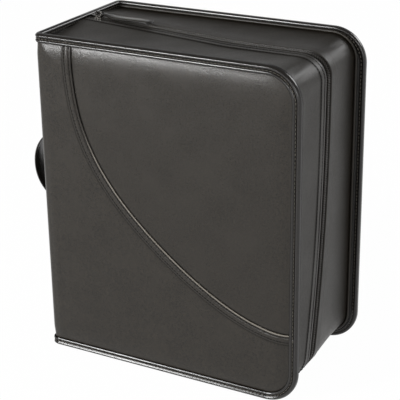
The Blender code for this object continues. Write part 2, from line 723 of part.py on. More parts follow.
def make_handle():
    """The strap, its long edges softened, and a sewn patch over each of its ends."""
    line = handle_line()
    edge = HANDLE_W / 2
    face = edge - HANDLE_T * 0.4
    soft = 0.6
    sections = []
    for k, (out, height) in enumerate(line):
        ahead = Vector(line[min(k + 1, len(line) - 1)]) - Vector(line[max(k - 1, 0)])
        square = Vector((ahead.y, -ahead.x)).normalized() * HANDLE_T / 2
        ring = [(square, face), (square * soft, edge), (-square * soft, edge), (-square, face),
                (-square, -face), (-square * soft, -edge), (square * soft, -edge), (square, -face)]
        x = -COVER_W / 2 - SKIN_OUT
        sections.append([(x - out - off.x, y, HANDLE_Z + height + off.y) for off, y in ring])
    loft("handle_strap", sections, LEATHERETTE)

    foot = -COVER_W / 2 - SKIN_OUT - CLEAR
    lift = HANDLE_T + 2 * CLEAR
    strap_half = HANDLE_W / 2 + 2 * CLEAR
    shoulder = strap_half + PATCH_T
    hat = [(foot, PATCH_W / 2), (foot - PATCH_T, PATCH_W / 2), (foot - PATCH_T, shoulder),
           (foot - lift - PATCH_T, shoulder - PATCH_T), (foot - lift - PATCH_T, -shoulder + PATCH_T),
           (foot - PATCH_T, -shoulder), (foot - PATCH_T, -PATCH_W / 2), (foot, -PATCH_W / 2),
           (foot, -strap_half), (foot - lift, -strap_half), (foot - lift, strap_half), (foot, strap_half)]
    for name, sign in (("handle_anchor_top", 1), ("handle_anchor_bottom", -1)):
        near = HANDLE_Z + sign * (HANDLE_HALF + PATCH_GAP)
        far = near + sign * PATCH_H
        sections = [[(x, y, z) for x, y in hat] for z in (near, far)]
        loft(name, sections, LEATHERETTE)


def make_pages():
    """The stack of sleeves with its leaves' edges, held in a channel by screw posts."""
    low = PAGES_END_GAP
    half = PAGES_D / 2
    plan = [(PAGES_LEFT, half), (PAGES_LEFT, -half)]
    pitch = PAGES_D / PAGE_RIDGES
    for k in range(PAGE_RIDGES):
        y = -half + pitch * k
        plan += [(PAGES_RIGHT, y), (PAGES_RIGHT + PAGE_RIDGE_H, y + pitch / 2)]
    plan.append((PAGES_RIGHT, half))
    sections = [[(x, y, z) for x, y in plan] for z in (low, low + PAGES_H)]
    block = loft("page_block", sections, SLEEVE_FILM)

    wall = half + CLEAR
    floor_x = CHANNEL_X + CHANNEL_T
    lip_x = CHANNEL_X + CHANNEL_FLANGE
    profile = [(CHANNEL_X, -wall - CHANNEL_T), (lip_x, -wall - CHANNEL_T), (lip_x, -wall), (floor_x, -wall),
               (floor_x, wall), (lip_x, wall), (lip_x, wall + CHANNEL_T), (CHANNEL_X, wall + CHANNEL_T)]
    sections = [[(x, y, z) for x, y in profile] for z in (low, low + PAGES_H)]
    channel = loft("page_channel", sections, MOULDED)

    x = CHANNEL_X + CHANNEL_FLANGE * 0.6
    outer = wall + CHANNEL_T + CLEAR
    for k in range(POST_COUNT):
        z = low + PAGES_H * (k + 0.5) / POST_COUNT
        outline = circle(x, z, SCREW_R + CLEAR)
        hole = prism(f"post_hole_{k + 1}", outline, -outer, outer, MOULDED, folder=CUTTERS)
        cut(block, hole)
        cut(channel, hole)
        rings = [(SCREW_HEAD_R, -outer - SCREW_HEAD_T), (SCREW_HEAD_R, -outer), (SCREW_R, -outer),
                 (SCREW_R, outer), (SCREW_HEAD_R, outer), (SCREW_HEAD_R, outer + SCREW_HEAD_T)]
        sections = [[(px, y, pz) for px, pz in circle(x, z, radius)] for radius, y in rings]
        loft(f"page_post_{k + 1}", sections, CAST_METAL)


def make_end_stop():
    """The clamp at the zip's closed end, round the last teeth of both rows."""
    stations = [RUN_TOTAL - STOP_L, RUN_TOTAL]
    low = TEETH_TOP + CLEAR
    inner = TEETH_W / 2 + CLEAR
    half = inner + STOP_T
    hat = [(half, TEETH_BOTTOM), (half, low + STOP_T), (-half, low + STOP_T), (-half, TEETH_BOTTOM),
           (-inner, TEETH_BOTTOM), (-inner, low), (inner, low), (inner, TEETH_BOTTOM)]
    zip_strip("zip_end_stop", stations, lambda k: hat, CAST_METAL)


def make_case():
    clear_scene()
    make_skins()
    make_foam()
    make_boards()
    make_lining()
    make_binding()
    make_handle()
    make_pages()
    for word, side in (("front", -1), ("back", 1)):
        make_gusset(f"{word}_gusset", side)
        make_welt(f"{word}_welt", side)
        make_tape(f"zip_tape_{word}", side)
        make_teeth(f"zip_teeth_{word}", side)
    make_end_stop()
    make_slider()
    make_pull()


make_case()
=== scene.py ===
# %% [markdown]
# # A zipped disc wallet in soft leatherette
# Two padded covers and a spine are wrapped in one skin, bound round their rims, and joined by a zipped
# gusset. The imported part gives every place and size. This lesson dresses it: each soft piece is worked out
# again as a fine surface, and every finish is made from nodes.

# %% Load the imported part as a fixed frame
import math

import bmesh
import bpy
import numpy as np
from mathutils import Matrix, Vector


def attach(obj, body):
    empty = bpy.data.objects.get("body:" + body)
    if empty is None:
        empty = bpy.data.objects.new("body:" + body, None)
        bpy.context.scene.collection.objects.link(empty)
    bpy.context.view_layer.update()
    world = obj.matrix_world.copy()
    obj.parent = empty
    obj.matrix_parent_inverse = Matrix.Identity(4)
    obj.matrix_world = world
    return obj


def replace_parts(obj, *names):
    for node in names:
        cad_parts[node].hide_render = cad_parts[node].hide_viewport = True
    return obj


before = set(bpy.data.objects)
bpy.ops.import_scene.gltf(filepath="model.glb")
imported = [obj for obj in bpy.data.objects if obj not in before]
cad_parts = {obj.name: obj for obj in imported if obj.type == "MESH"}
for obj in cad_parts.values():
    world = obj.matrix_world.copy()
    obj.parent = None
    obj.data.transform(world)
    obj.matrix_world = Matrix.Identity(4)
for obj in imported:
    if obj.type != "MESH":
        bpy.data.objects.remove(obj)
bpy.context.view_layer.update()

# %% [markdown]
# ## The camera
# The picture was taken from the front right and a little above with a long lens, so the upright edges
# stay almost parallel. The place, aim, roll and lens were worked out from the case's corners.

# %% Camera
CAMERA_AIM = Vector((0.02506, 0.0, 0.16458))
CAMERA_TURN, CAMERA_RISE, CAMERA_ROLL = (math.radians(angle) for angle in (29.028, 22.204, -0.858))
CAMERA_AWAY, CAMERA_LENS, CAMERA_SENSOR = 1.336, 116.17, 36.0

def add_object(name, data):
    """Puts new data in the scene as an object at the origin."""
    made = bpy.data.objects.new(name, data)
    bpy.context.scene.collection.objects.link(made)
    return made

def add_camera():
    """Looks back along the direction of turn and rise, then rolls about it."""
    back = Vector((math.sin(CAMERA_TURN) * math.cos(CAMERA_RISE),
                   -math.cos(CAMERA_TURN) * math.cos(CAMERA_RISE), math.sin(CAMERA_RISE)))
    right = Vector((0, 0, 1)).cross(back).normalized()
    above = back.cross(right)
    c, s = math.cos(CAMERA_ROLL), math.sin(CAMERA_ROLL)
    turned = Matrix((right * c + above * s, above * c - right * s, back)).transposed()
    lens = bpy.data.cameras.new("camera")
    lens.lens, lens.sensor_width = CAMERA_LENS, CAMERA_SENSOR
    made = add_object("camera", lens)
    made.matrix_world = Matrix.Translation(CAMERA_AIM + back * CAMERA_AWAY) @ turned.to_4x4()
    bpy.context.scene.camera = made
    return made

camera = add_camera()
print("camera at", [round(c, 3) for c in camera.matrix_world.translation])

# %% [markdown]
# ## Finishes as expressions
# A finish is a small graph. Writing its maths as Python expressions keeps it readable: one class wraps a
# number socket and adds Math nodes when it is used with + - or *, and any other node comes from one call.

# %% A finish and its expressions
def linear(red, green, blue):
    """An sRGB colour from 0 to 255 as the linear colour that a shader takes."""
    share = np.array([red, green, blue]) / 255
    curve = np.where(share < 0.04045, share / 12.92, ((share + 0.055) / 1.055) ** 2.4)
    return tuple(float(c) for c in curve)

def toned(colour, share):
    """A linear colour made darker or lighter by a share."""
    return tuple(min(1.0, share * c) for c in colour)

class Amount:
    """A number socket; arithmetic on it adds Math nodes to its graph."""
    def __init__(self, graph, socket):
        self.graph, self.socket = graph, socket

    def maths(self, operation, first, second):
        return self.graph.amount("ShaderNodeMath", {"operation": operation}, first, second)

    def __add__(self, other):
        return self.maths("ADD", self, other)

    def __radd__(self, other):
        return self.maths("ADD", other, self)

    def __rsub__(self, other):
        return self.maths("SUBTRACT", other, self)

    def __mul__(self, other):
        return self.maths("MULTIPLY", self, other)

    def __rmul__(self, other):
        return self.maths("MULTIPLY", other, self)

class Graph:
    """A node tree of a material or of the world, whose nodes come from one method."""
    def __init__(self, tree):
        self.tree = tree

    def plug(self, socket, value):
        """Puts a number, a colour or another node's output on a socket."""
        if isinstance(value, Amount):
            value = value.socket
        if isinstance(value, bpy.types.NodeSocket):
            self.tree.links.new(value, socket)
        elif isinstance(value, tuple) and len(value) == 3 and socket.type == "RGBA":
            socket.default_value = (*value, 1.0)
        else:
            socket.default_value = value

    def node(self, kind, settings=None, *values, **named):
        """Any node: its settings first, then the values or links of its sockets, in order or by name."""
        made = self.tree.nodes.new(kind)
        for key, value in (settings or {}).items():
            setattr(made, key, value)
        for socket, value in zip(made.inputs, values):
            self.plug(socket, value)
        for key, value in named.items():
            self.plug(made.inputs[key.replace("_", " ")], value)
        return made

    def amount(self, kind, settings=None, *values, output=0, **named):
        return Amount(self, self.node(kind, settings, *values, **named).outputs[output])

    def surface(self, output, shader):
        """Ends the graph in another shader's output."""
        self.plug(self.tree.nodes[output].inputs["Surface"], shader)

    def range_of(self, amount, low, high):
        """Stretches an amount so that low becomes 0 and high becomes 1, and no further."""
        return self.amount("ShaderNodeMapRange", None, Value=amount, From_Min=low, From_Max=high)

class Finish(Graph):
    """A material round one Principled shader."""
    def __init__(self, name, roughness=0.5, metallic=0.0, shine=0.5):
        self.material = bpy.data.materials.new(name)
        self.material.use_nodes = True
        super().__init__(self.material.node_tree)
        self.shader = self.tree.nodes["Principled BSDF"]
        self.set("Roughness", roughness)
        self.set("Metallic", metallic)
        self.set("Specular IOR Level", shine)

    def set(self, socket, value):
        self.plug(self.shader.inputs[socket], value)

    def place(self):
        """Object coordinates, in metres."""
        return self.node("ShaderNodeTexCoord").outputs["Object"]

    def noise(self, where, scale, detail):
        return self.amount("ShaderNodeTexNoise", None, Vector=where, Scale=scale, Detail=detail)

    def cells(self, where, scale):
        """Distance to the nearest border between the cells of a Voronoi pattern."""
        return self.amount("ShaderNodeTexVoronoi", {"feature": "DISTANCE_TO_EDGE"}, Vector=where, Scale=scale)

    def painted_shading(self):
        """The piece's own painted shading: up to 1 for painted shade in a groove or a stitch hole, down to -1
        for a painted highlight on a fold.
        """
        return self.amount("ShaderNodeAttribute", {"attribute_name": "painted_shading"}, output="Fac")

    def blend(self, share, first, second):
        """Mix two colours by a share from 0 to 1; sockets 6 and 7 of a Mix node take colours."""
        made = self.node("ShaderNodeMix", {"data_type": "RGBA"}, share)
        self.plug(made.inputs[6], first)
        self.plug(made.inputs[7], second)
        return made.outputs[2]

    def bump(self, height, depth, strength):
        return self.node("ShaderNodeBump", None, Strength=strength, Distance=depth, Height=height).outputs[0]

print("expressions ready; mid grey is", [round(c, 3) for c in linear(128, 128, 128)])

# %% [markdown]
# ## Leatherette
# Coated cloth is embossed with a fine pebble grain: rounded cells about a millimetre across with narrow
# valleys, which are darker and duller. Cells from a Voronoi pattern on warped Object coordinates give the
# same grain on every piece, whatever its shape. Each piece also carries its own painted shading: painted
# shade leads to a dull, almost black shader in grooves and stitch holes, and a painted highlight to a paler
# colour on a fold.

# %% Leatherette
WARP, WARP_SCALE = 0.0007, 420.0
FINE_SCALE, GRIT_SCALE, PATCH_SCALE = 2600.0, 560.0, 34.0
VALLEY = 0.22
PAINTED_HIGHLIGHT = linear(128, 122, 113)

def leatherette(name, colour, roughness, grain, grain_depth, shine):
    """Grain is the distance to the border of warped cells, flattened on top, with finer noise over it."""
    made = Finish(name, roughness, shine=shine)
    where = made.place()
    warp = made.node("ShaderNodeTexNoise", None, Vector=where, Scale=WARP_SCALE, Detail=1.0).outputs["Color"]
    warped = made.node("ShaderNodeVectorMath", {"operation": "MULTIPLY_ADD"}, warp, (WARP,) * 3, where)
    pebble = made.range_of(made.cells(warped.outputs[0], grain), 0.0, VALLEY)
    fine = made.noise(where, FINE_SCALE, 2.0)
    grit = made.noise(where, GRIT_SCALE, 2.0)
    soft = made.noise(where, PATCH_SCALE, 3.0)
    made.set("Normal", made.bump(pebble * 0.8 + fine * 0.3 + grit * 2.4, grain_depth, 0.9))
    mottle = made.range_of(grit * 0.85 + soft * 0.15, 0.35, 0.65)
    ground = made.blend(mottle, toned(colour, 0.45), toned(colour, 1.55))
    grained = made.blend(pebble, toned(colour, 0.5), ground)
    # Below 0 the painted shading blends the grain to a pale painted highlight.
    made.set("Base Color", made.blend(made.range_of(made.painted_shading(), 0.0, -1.0), grained, PAINTED_HIGHLIGHT))
    made.set("Roughness", roughness + 0.10 * (1 - pebble) + 0.06 * made.range_of(soft, 0.3, 0.7))
    # Painted shade: a dull, almost black shader mixed in where the painted shading is above 0, in grooves and
    # stitch holes.
    painted_shade_shader = made.node("ShaderNodeBsdfPrincipled", None, Base_Color=toned(colour, 0.06), Roughness=0.9,
                       Specular_IOR_Level=0.0)
    groove = made.range_of(made.painted_shading(), 0.0, 1.0)
    both = made.node("ShaderNodeMixShader", None, groove, made.shader.outputs[0], painted_shade_shader.outputs[0])
    made.surface("Material Output", both.outputs[0])
    return made.material

SKIN_FINISH = leatherette("skin_leatherette", linear(35, 31, 25), 0.23, 900.0, 0.00004, 0.35)
BINDING_FINISH = leatherette("binding_leatherette", linear(26, 23, 20), 0.13, 1100.0, 0.000015, 0.50)
GUSSET_FINISH = leatherette("gusset_leatherette", linear(38, 34, 28), 0.34, 900.0, 0.00004, 0.30)
print("leatherettes", [m.name for m in bpy.data.materials if "leatherette" in m.name])

# %% Thread, tape, teeth and metal
def thread_finish(name, dark, light):
    """Two tones in the bands of a wave, as the twist of a thread shows them."""
    made = Finish(name, 0.62, shine=0.10)
    twist = made.amount("ShaderNodeTexWave", None, Vector=made.place(), Scale=900.0)
    made.set("Base Color", made.blend(twist, dark, light))
    return made.material

def plain_finish(name, colour, roughness, metallic=0.0, scale=300.0, shine=0.5):
    """A plain finish whose colour and gloss still drift a little over the piece."""
    made = Finish(name, roughness, metallic, shine)
    drift = made.noise(made.place(), scale, 3.0)
    made.set("Base Color", made.blend(drift, toned(colour, 0.88), toned(colour, 1.12)))
    made.set("Roughness", roughness - 0.06 + 0.12 * drift)
    return made.material

THREAD = thread_finish("binding_thread", linear(58, 55, 50), linear(92, 88, 81))
DARK_THREAD = thread_finish("seam_thread", linear(12, 11, 10), linear(24, 22, 20))
# The tape's dark tone is partly its own colour and partly painted shade for the gap between the walls' edges
# and the teeth.
TAPE = plain_finish("zip_tape_weave", linear(28, 26, 24), 0.85, shine=0.1)
TEETH = plain_finish("zip_teeth_nylon", linear(56, 53, 49), 0.42, shine=0.25)
METAL = plain_finish("cast_metal", linear(190, 188, 184), 0.28, 1.0)
DARK_METAL = plain_finish("dark_nickel", linear(84, 82, 79), 0.22, 1.0)
BOARD = plain_finish("grey_board", linear(150, 142, 130), 0.9)
FOAM = plain_finish("white_foam", linear(200, 196, 190), 0.95, scale=900.0)
LINING = plain_finish("lining_cloth", linear(52, 51, 50), 0.9, scale=1200.0)
SLEEVES = plain_finish("sleeve_film", linear(82, 82, 84), 0.35)
MOULDED = plain_finish("moulded_channel", linear(46, 46, 46), 0.5)
print("materials", len(bpy.data.materials))

# %% [markdown]
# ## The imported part's sizes
# A surface can be worked out again only from the same values as the part's solids, so the ones needed here
# are repeated. The wrap is laid out flat first: u runs from the front cover's free edge over the spine to
# the back cover's free edge, and only the last step folds it round the case.

# %% Sizes of the wrap, in metres
COVER_W, COVER_H, CASE_D = 0.290, 0.3444, 0.158
CORNER_R, FOLD_R, CLEAR = 0.035, 0.008, 0.0003
SKIN_OUT, SKIN_T, COVER_T, EDGE_IN = -0.0013, 0.0010, 0.0066, 0.0016
BINDING_T, BINDING_W, BINDING_INNER_W, BINDING_ROUND = 0.0010, 0.009, 0.006, 0.0022
CROWN_H, CROWN_RUN, PANEL_STEP, SEAM_GAP = 0.0022, 0.030, 0.0006, 0.0004
FOLD_PUFF, FOLD_PUFF_RUN, HANDLE_CLEAR = 0.0009, 0.014, 0.026
FRONT_RUN = COVER_W - FOLD_R
FOLD_RUN = FOLD_R * math.pi / 2
SPINE_RUN = CASE_D - 2 * FOLD_R
WRAP_LEN = 2 * (FRONT_RUN + FOLD_RUN) + SPINE_RUN
SKIN_LOW, SKIN_HIGH = EDGE_IN, COVER_H - EDGE_IN
SHIFT_X = 0.02835

def smooth(t):
    """0 to 1 with flat ends."""
    t = np.clip(t, 0.0, 1.0)
    return t * t * (3 - 2 * t)

def bell(x, at, width):
    """1 at a place, falling off on both sides as e to minus the square of the distance in widths."""
    return np.exp(-((x - at) / width) ** 2)

def fold(u, z, out):
    """Folds the flat wrap: straight over a cover, a quarter turn of FOLD_R, and straight over the spine."""
    u, z, out = np.broadcast_arrays(*(np.asarray(a, float) for a in (u, z, out)))
    v = np.minimum(u, WRAP_LEN - u)
    turn = np.clip((v - FRONT_RUN) / FOLD_R, 0.0, math.pi / 2)
    past = np.maximum(v - FRONT_RUN - FOLD_RUN, 0.0)
    x = COVER_W / 2 - np.minimum(v, FRONT_RUN) - (FOLD_R + out) * np.sin(turn)
    y = -CASE_D / 2 + FOLD_R - (FOLD_R + out) * np.cos(turn) + past
    return np.stack([x + SHIFT_X, np.where(u > WRAP_LEN / 2, -y, y), z], -1)

def crown(u, z):
    """The padded swell of a cover, which rises over CROWN_RUN, and a small swell along the fold."""
    v = np.minimum(u, WRAP_LEN - u)
    up = np.minimum(z, COVER_H - z)
    corner = CORNER_R - np.hypot(CORNER_R - v, CORNER_R - up)
    inside = np.where((v < CORNER_R) & (up < CORNER_R), corner, np.minimum(v, up))
    share = np.clip(np.minimum(inside - BINDING_W, FRONT_RUN - v) / CROWN_RUN, 0.0, 1.0)
    cover = CROWN_H * (1 - (1 - share) ** 4)
    beside_handle = smooth((WRAP_LEN / 2 - v - HANDLE_CLEAR) / FOLD_PUFF_RUN)
    at_fold = smooth((v - FRONT_RUN + FOLD_PUFF_RUN) / FOLD_PUFF_RUN) * beside_handle
    return cover + FOLD_PUFF * at_fold * smooth((up - BINDING_W) / FOLD_PUFF_RUN)

print("the wrap is", round(WRAP_LEN * 1000), "mm long")

# %% Grids into meshes
def quads_of(rows, cols, round_rows=False, round_cols=False):
    """Corner numbers of a grid's quads, going back to the first row or column where it is closed."""
    i = np.arange(rows if round_rows else rows - 1)[:, None]
    j = np.arange(cols if round_cols else cols - 1)[None, :]
    down, right = (i + 1) % rows, (j + 1) % cols
    corners = np.broadcast_arrays(i * cols + j, i * cols + right, down * cols + right, down * cols + j)
    return np.stack(corners, -1).reshape(-1, 4)

def end_caps(rows, cols):
    """Corner numbers of the first and the last ring, as two faces that look outwards."""
    return np.stack([np.arange(cols)[::-1], np.arange(cols) + (rows - 1) * cols])

def fine_mesh(name, points, faces, finish, painted_shading, sharp=None):
    """A smooth shaded mesh. Painted shading says how much painted shade each point gets in a groove, or below
    0 how much painted highlight it gets on a fold.
    """
    data = bpy.data.meshes.new(name)
    data.from_pydata(points.tolist(), [], faces)
    data.polygons.foreach_set("use_smooth", np.ones(len(data.polygons), bool))
    if sharp is not None:
        data.set_sharp_from_angle(angle=math.radians(sharp))
    data.materials.append(finish)
    if painted_shading is not None:
        marks = data.attributes.new("painted_shading", "FLOAT", "POINT").data
        marks.foreach_set("value", np.clip(painted_shading, -1, 1).ravel())
    return data

def mesh_piece(name, points, quads, caps, finish, body, sharp, painted_shading=None):
    """A mesh from points and faces, turned so that it encloses a positive volume, riding on a body."""
    a, b, c, d = (points[quads[:, k]] for k in range(4))
    volume = np.einsum("ij,ij->", a, np.cross(b, c)) + np.einsum("ij,ij->", a, np.cross(c, d))
    for cap in caps:
        p = points[cap]
        volume += np.einsum("j,ij->", p[0], np.cross(p[1:-1], p[2:]))
    faces = quads.tolist() + [cap.tolist() for cap in caps]
    if volume < 0:
        faces = [face[::-1] for face in faces]
    made = add_object(name, fine_mesh(name, points, faces, finish, painted_shading, sharp))
    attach(made, body)
    print(name, len(faces), "faces")
    return made

def carried(name, rings, finish, body="case", closed=False, sharp=40.0, painted_shading=None):
    """A profile carried along a path: rings[i, j] is point j of the profile at station i."""
    rows, cols = rings.shape[:2]
    quads, caps = quads_of(rows, cols, closed, True), [] if closed else end_caps(rows, cols)
    return mesh_piece(name, rings.reshape(-1, 3), quads, caps, finish, body, sharp, painted_shading)

def repeated(name, shape, places, finish, body="case"):
    """One small closed shape, rings[i, j] in its own axes, put at every centre in that centre's axes."""
    centres, axes = (np.concatenate(part) for part in zip(*places))
    rows, cols = shape.shape[:2]
    flat = shape.reshape(-1, 3)
    points = (centres[:, None, :] + np.einsum("pk,nkc->npc", flat, axes)).reshape(-1, 3)
    step = (np.arange(len(centres)) * len(flat))[:, None, None]
    quads = (quads_of(rows, cols, False, True)[None] + step).reshape(-1, 4)
    caps = (end_caps(rows, cols)[None] + step).reshape(-1, cols)
    return mesh_piece(name, points, quads, caps, finish, body, 60.0)

print("a closed grid of 3 by 4 has", len(quads_of(3, 4, True, True)), "quads")

# %% Lines, even steps and a stitch
def unit(rows):
    """Vectors in rows, at length 1."""
    return rows / np.linalg.norm(rows, axis=1, keepdims=True)

def full_turn(count):
    """Angles at an even step round a circle."""
    return np.linspace(0, 2 * math.pi, count, endpoint=False)

def run_of(line):
    """The distance from the start of a line to each of its points."""
    return np.concatenate([[0.0], np.cumsum(np.linalg.norm(np.diff(line, axis=0), axis=1))])

def even_places(total, step, phase):
    """Distances along a line at the even step that is nearest to the one asked for."""
    count = int(round(total / step))
    return (np.arange(count) + phase) * total / count

def at_places(line, run, places):
    """A line's columns at other distances along it."""
    return np.stack([np.interp(places, run, column) for column in line.T], 1)

def stations(line_at, pitch, phase=0.5):
    """Centres at an even pitch along a line, with axes: along it, across it and out of its surface.
    line_at gives the line's points at a height above that surface."""
    line = line_at(0.0)
    run = run_of(line)
    both = at_places(np.concatenate([line, line_at(0.001)], 1), run, even_places(run[-1], pitch, phase))
    centres, out = both[:, :3], both[:, 3:] - both[:, :3]
    along = unit(np.gradient(centres, axis=0))
    out = unit(out - along * np.einsum("ij,ij->i", along, out)[:, None])
    return centres, np.stack([along, np.cross(out, along), out], 1)

def stitch_shape(length, radius):
    """A short thread that dives into its holes: a round section along an arch."""
    along = np.array([-0.5, -0.42, -0.2, 0.2, 0.42, 0.5]) * length
    thick = np.array([0.45, 0.85, 1.0, 1.0, 0.85, 0.45]) * radius
    drop = np.array([-1.3, -0.35, 0.1, 0.1, -0.35, -1.3]) * radius
    turn = full_turn(6)
    ring = np.stack([np.zeros(6), np.cos(turn), np.sin(turn)], 1)
    return thick[:, None, None] * ring[None] + np.stack([along, np.zeros(6), drop], 1)[:, None, :]

def holes(along, pitch):
    """1 at each stitch hole and 0 half way to the next: half of one plus a cosine."""
    return 0.5 + 0.5 * np.cos(2 * math.pi * along / pitch)

def rounded_drop(away, width):
    """How far a rounded edge drops: a quarter circle from 1 at the edge to 0 at the width."""
    return 1 - np.sqrt(1 - np.clip(1 - away / width, 0.0, 1.0) ** 2)

print("a stitch has", stitch_shape(0.003, 0.0003).shape, "points")

# %% [markdown]
# ## The seam across the front
# The lower left skin overlaps the upper right panel along a curve. Its edge is folded under and stitched
# down with two rows. The curve is two cubic arcs, sampled evenly. The skin is made from lines that leave
# the seam squarely, so the fold, the stitch grooves and the puckers follow it exactly.

# %% The seam's line
SEAM_STEP = 0.0014
SEAM_TOP, SEAM_BEND, SEAM_END = (-0.1008, COVER_H + 0.004), (-0.0286, 0.1643), (COVER_W / 2 + 0.002, 0.0786)
SEAM_SLOPE, TOP_PULL, BEND_PULLS, END_PULL = -0.759, 0.063, (0.0955, 0.045), (-0.060, -0.012)

def cubic(a, b, c, d, count):
    """Points of a cubic curve from a to d, drawn towards b and c."""
    t = np.linspace(0, 1, count)[:, None]
    return (1 - t) ** 3 * a + 3 * t * (1 - t) ** 2 * b + 3 * t * t * (1 - t) * c + t ** 3 * d

def seam_line():
    """The seam in flat wrap coordinates (u, z), from the top rim to the free rim, at an even step."""
    top, bend, end = (np.array(point) for point in (SEAM_TOP, SEAM_BEND, SEAM_END))
    way = np.array([math.cos(SEAM_SLOPE), math.sin(SEAM_SLOPE)])
    first = cubic(top, top - (0, TOP_PULL), bend - way * BEND_PULLS[0], bend, 160)
    second = cubic(bend, bend + way * BEND_PULLS[1], end + END_PULL, end, 160)
    line = np.concatenate([first, second[1:]])
    line = np.stack([COVER_W / 2 - line[:, 0], line[:, 1]], 1)
    line = line[(line[:, 1] < SKIN_HIGH) & (line[:, 0] > EDGE_IN)]
    line = np.concatenate([[[line[0, 0], SKIN_HIGH]], line, [[EDGE_IN, line[-1, 1]]]])
    run = run_of(line)
    places = np.append(even_places(run[-1], SEAM_STEP, 0.0), run[-1])
    return at_places(line, run, places), places

SEAM, SEAM_AT = seam_line()
SEAM_WAY = unit(np.gradient(SEAM, axis=0))
SEAM_SIDE = np.stack([-SEAM_WAY[:, 1], SEAM_WAY[:, 0]], 1)
if SEAM_SIDE[0, 0] < 0:
    SEAM_SIDE = -SEAM_SIDE
print("seam", len(SEAM), "points,", round(SEAM_AT[-1] * 1000), "mm; the skin's side is", SEAM_SIDE[0])

# %% Heights of the skins beside the seam
SEAM_ROWS = (0.0026, 0.0080)
SEAM_PITCH, SEAM_ROW_W = 0.0034, 0.0008
SEAM_LIFT, SEAM_DIP, SEAM_PUFF, SEAM_END_AT = 0.0010, 0.00055, 0.00035, 0.0105
LIP_W, LIP_DROP = 0.0016, 0.0013
PRESSED, PRESSED_W = 0.0005, 0.0035

def skin_height(u, z, away, along):
    """Crown, plus the folded double layer near the seam with a rounded lip, two grooves and a puff."""
    lift = SEAM_LIFT * smooth((SEAM_END_AT - away) / 0.0025) - LIP_DROP * rounded_drop(away, LIP_W)
    pull = 0.5 + 0.5 * holes(along, SEAM_PITCH)
    for row in SEAM_ROWS:
        lift = lift - SEAM_DIP * pull * bell(away, row, SEAM_ROW_W)
    middle = np.clip((away - SEAM_ROWS[0]) / (SEAM_ROWS[1] - SEAM_ROWS[0]), 0.0, 1.0)
    return SKIN_OUT + crown(u, z) + lift + SEAM_PUFF * np.sin(math.pi * middle) ** 2

def seam_painted_light(away):
    """Painted shade in the rows of stitches, a painted shadow where the double edge ends, and a painted
    highlight on the fold where it faces up.
    """
    rows = 0.35 * sum(bell(away, row, SEAM_ROW_W) for row in SEAM_ROWS)
    facing_up = smooth((-SEAM_SIDE[:, 1:] - 0.25) / 0.35)
    return rows + 0.45 * bell(away, SEAM_END_AT + 0.0003, 0.0009) - facing_up * bell(away, 0.0004, 0.0005)

def panel_height(u, z, away):
    """The panel lies lower, and dips a little further where the seam presses on it."""
    swell = crown(u, z)
    return SKIN_OUT + swell - PANEL_STEP - PRESSED * bell(away, 0.0, PRESSED_W) * smooth(swell / CROWN_H)

print("rows at", SEAM_ROWS, "from the fold")

# %% Lines that fan out from the seam, and sheets of them
NEAR_EASE, FAR_EASE, FAR_AWAY = 1.3, 1.15, 0.05

def outline_of(corners_at, count):
    """Points at an even step along a polyline in (u, z)."""
    run = run_of(corners_at)
    return at_places(corners_at, run, np.linspace(0, run[-1], count))

def rim_arc(centre, start, end):
    """The skin's rounded corner, between two angles."""
    turn = np.radians(np.linspace(start, end, 24))
    radius = CORNER_R - EDGE_IN
    return np.stack([centre[0] - radius * np.cos(turn), centre[1] + radius * np.sin(turn)], 1)

def fan(line, side, far, reach, near_steps, far_steps):
    """Lines that leave the seam squarely for a short reach, and then run to matching points of an outline."""
    near = np.linspace(0.0, 1.0, near_steps) ** NEAR_EASE * reach
    strip = line[:, None, :] + side[:, None, :] * near[None, :, None]
    strip[..., 0] = np.maximum(strip[..., 0], EDGE_IN)
    strip[..., 1] = np.minimum(strip[..., 1], SKIN_HIGH)
    share = np.linspace(0.0, 1.0, far_steps + 1)[1:] ** FAR_EASE
    start = strip[:, -1:, :]
    flat = np.concatenate([strip, start + (far[:, None, :] - start) * share[None, :, None]], 1)
    return flat[..., 0], flat[..., 1], np.concatenate([near, np.full(far_steps, FAR_AWAY)])[None, :]

def slab(name, sheets, painted_shadings):
    """A sheet of one or more grids, joined along common lines and given the skin's thickness inwards."""
    points, quads, start = [], [], 0
    marks = np.concatenate([np.broadcast_to(c, g.shape[:2]).ravel() for c, g in zip(painted_shadings, sheets)])
    for grid in sheets:
        points.append(grid.reshape(-1, 3))
        quads.append(quads_of(*grid.shape[:2]) + start)
        start += len(points[-1])
    points, quads = np.concatenate(points), np.concatenate(quads)
    first, number = np.unique(np.round(points, 6), axis=0, return_index=True, return_inverse=True)[1:]
    faces = [list(dict.fromkeys(face)) for face in number.reshape(-1)[quads].tolist()]
    faces = [face for face in faces if len(face) > 2]
    made = add_object(name, fine_mesh(name, points[first], faces, SKIN_FINISH, marks[first]))
    wall = made.modifiers.new("wall", "SOLIDIFY")
    wall.thickness, wall.offset = SKIN_T, -1.0
    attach(made, "case")
    print(name, len(faces), "faces in the sheet")
    return made

print("the skin's corner is an arc of", len(rim_arc((CORNER_R, CORNER_R), -90, 0)), "points")

# %% The front's upper right panel
PANEL_START = 0.014

def make_front_panel():
    """Lines run from the seam to the rim: along its top, round its corner and down its side."""
    start = SEAM - SEAM_SIDE * SEAM_GAP
    start[:, 0] = np.maximum(start[:, 0], EDGE_IN)
    top, side = [[SEAM[0, 0] - PANEL_START, SKIN_HIGH]], [[EDGE_IN, SEAM[-1, 1] + PANEL_START]]
    path = np.concatenate([top, rim_arc((CORNER_R, COVER_H - CORNER_R), 90, 0), side])
    u, z, away = fan(start, -SEAM_SIDE, outline_of(path, len(SEAM)), 0.010, 10, 44)
    # The panel gets painted shade close to the seam, under the folded edge of the skin.
    return slab("front_panel", [fold(u, z, panel_height(u, z, away))], [bell(away, 0.0, 0.0011)])

front_panel = make_front_panel()
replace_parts(front_panel, "front_panel_skin")

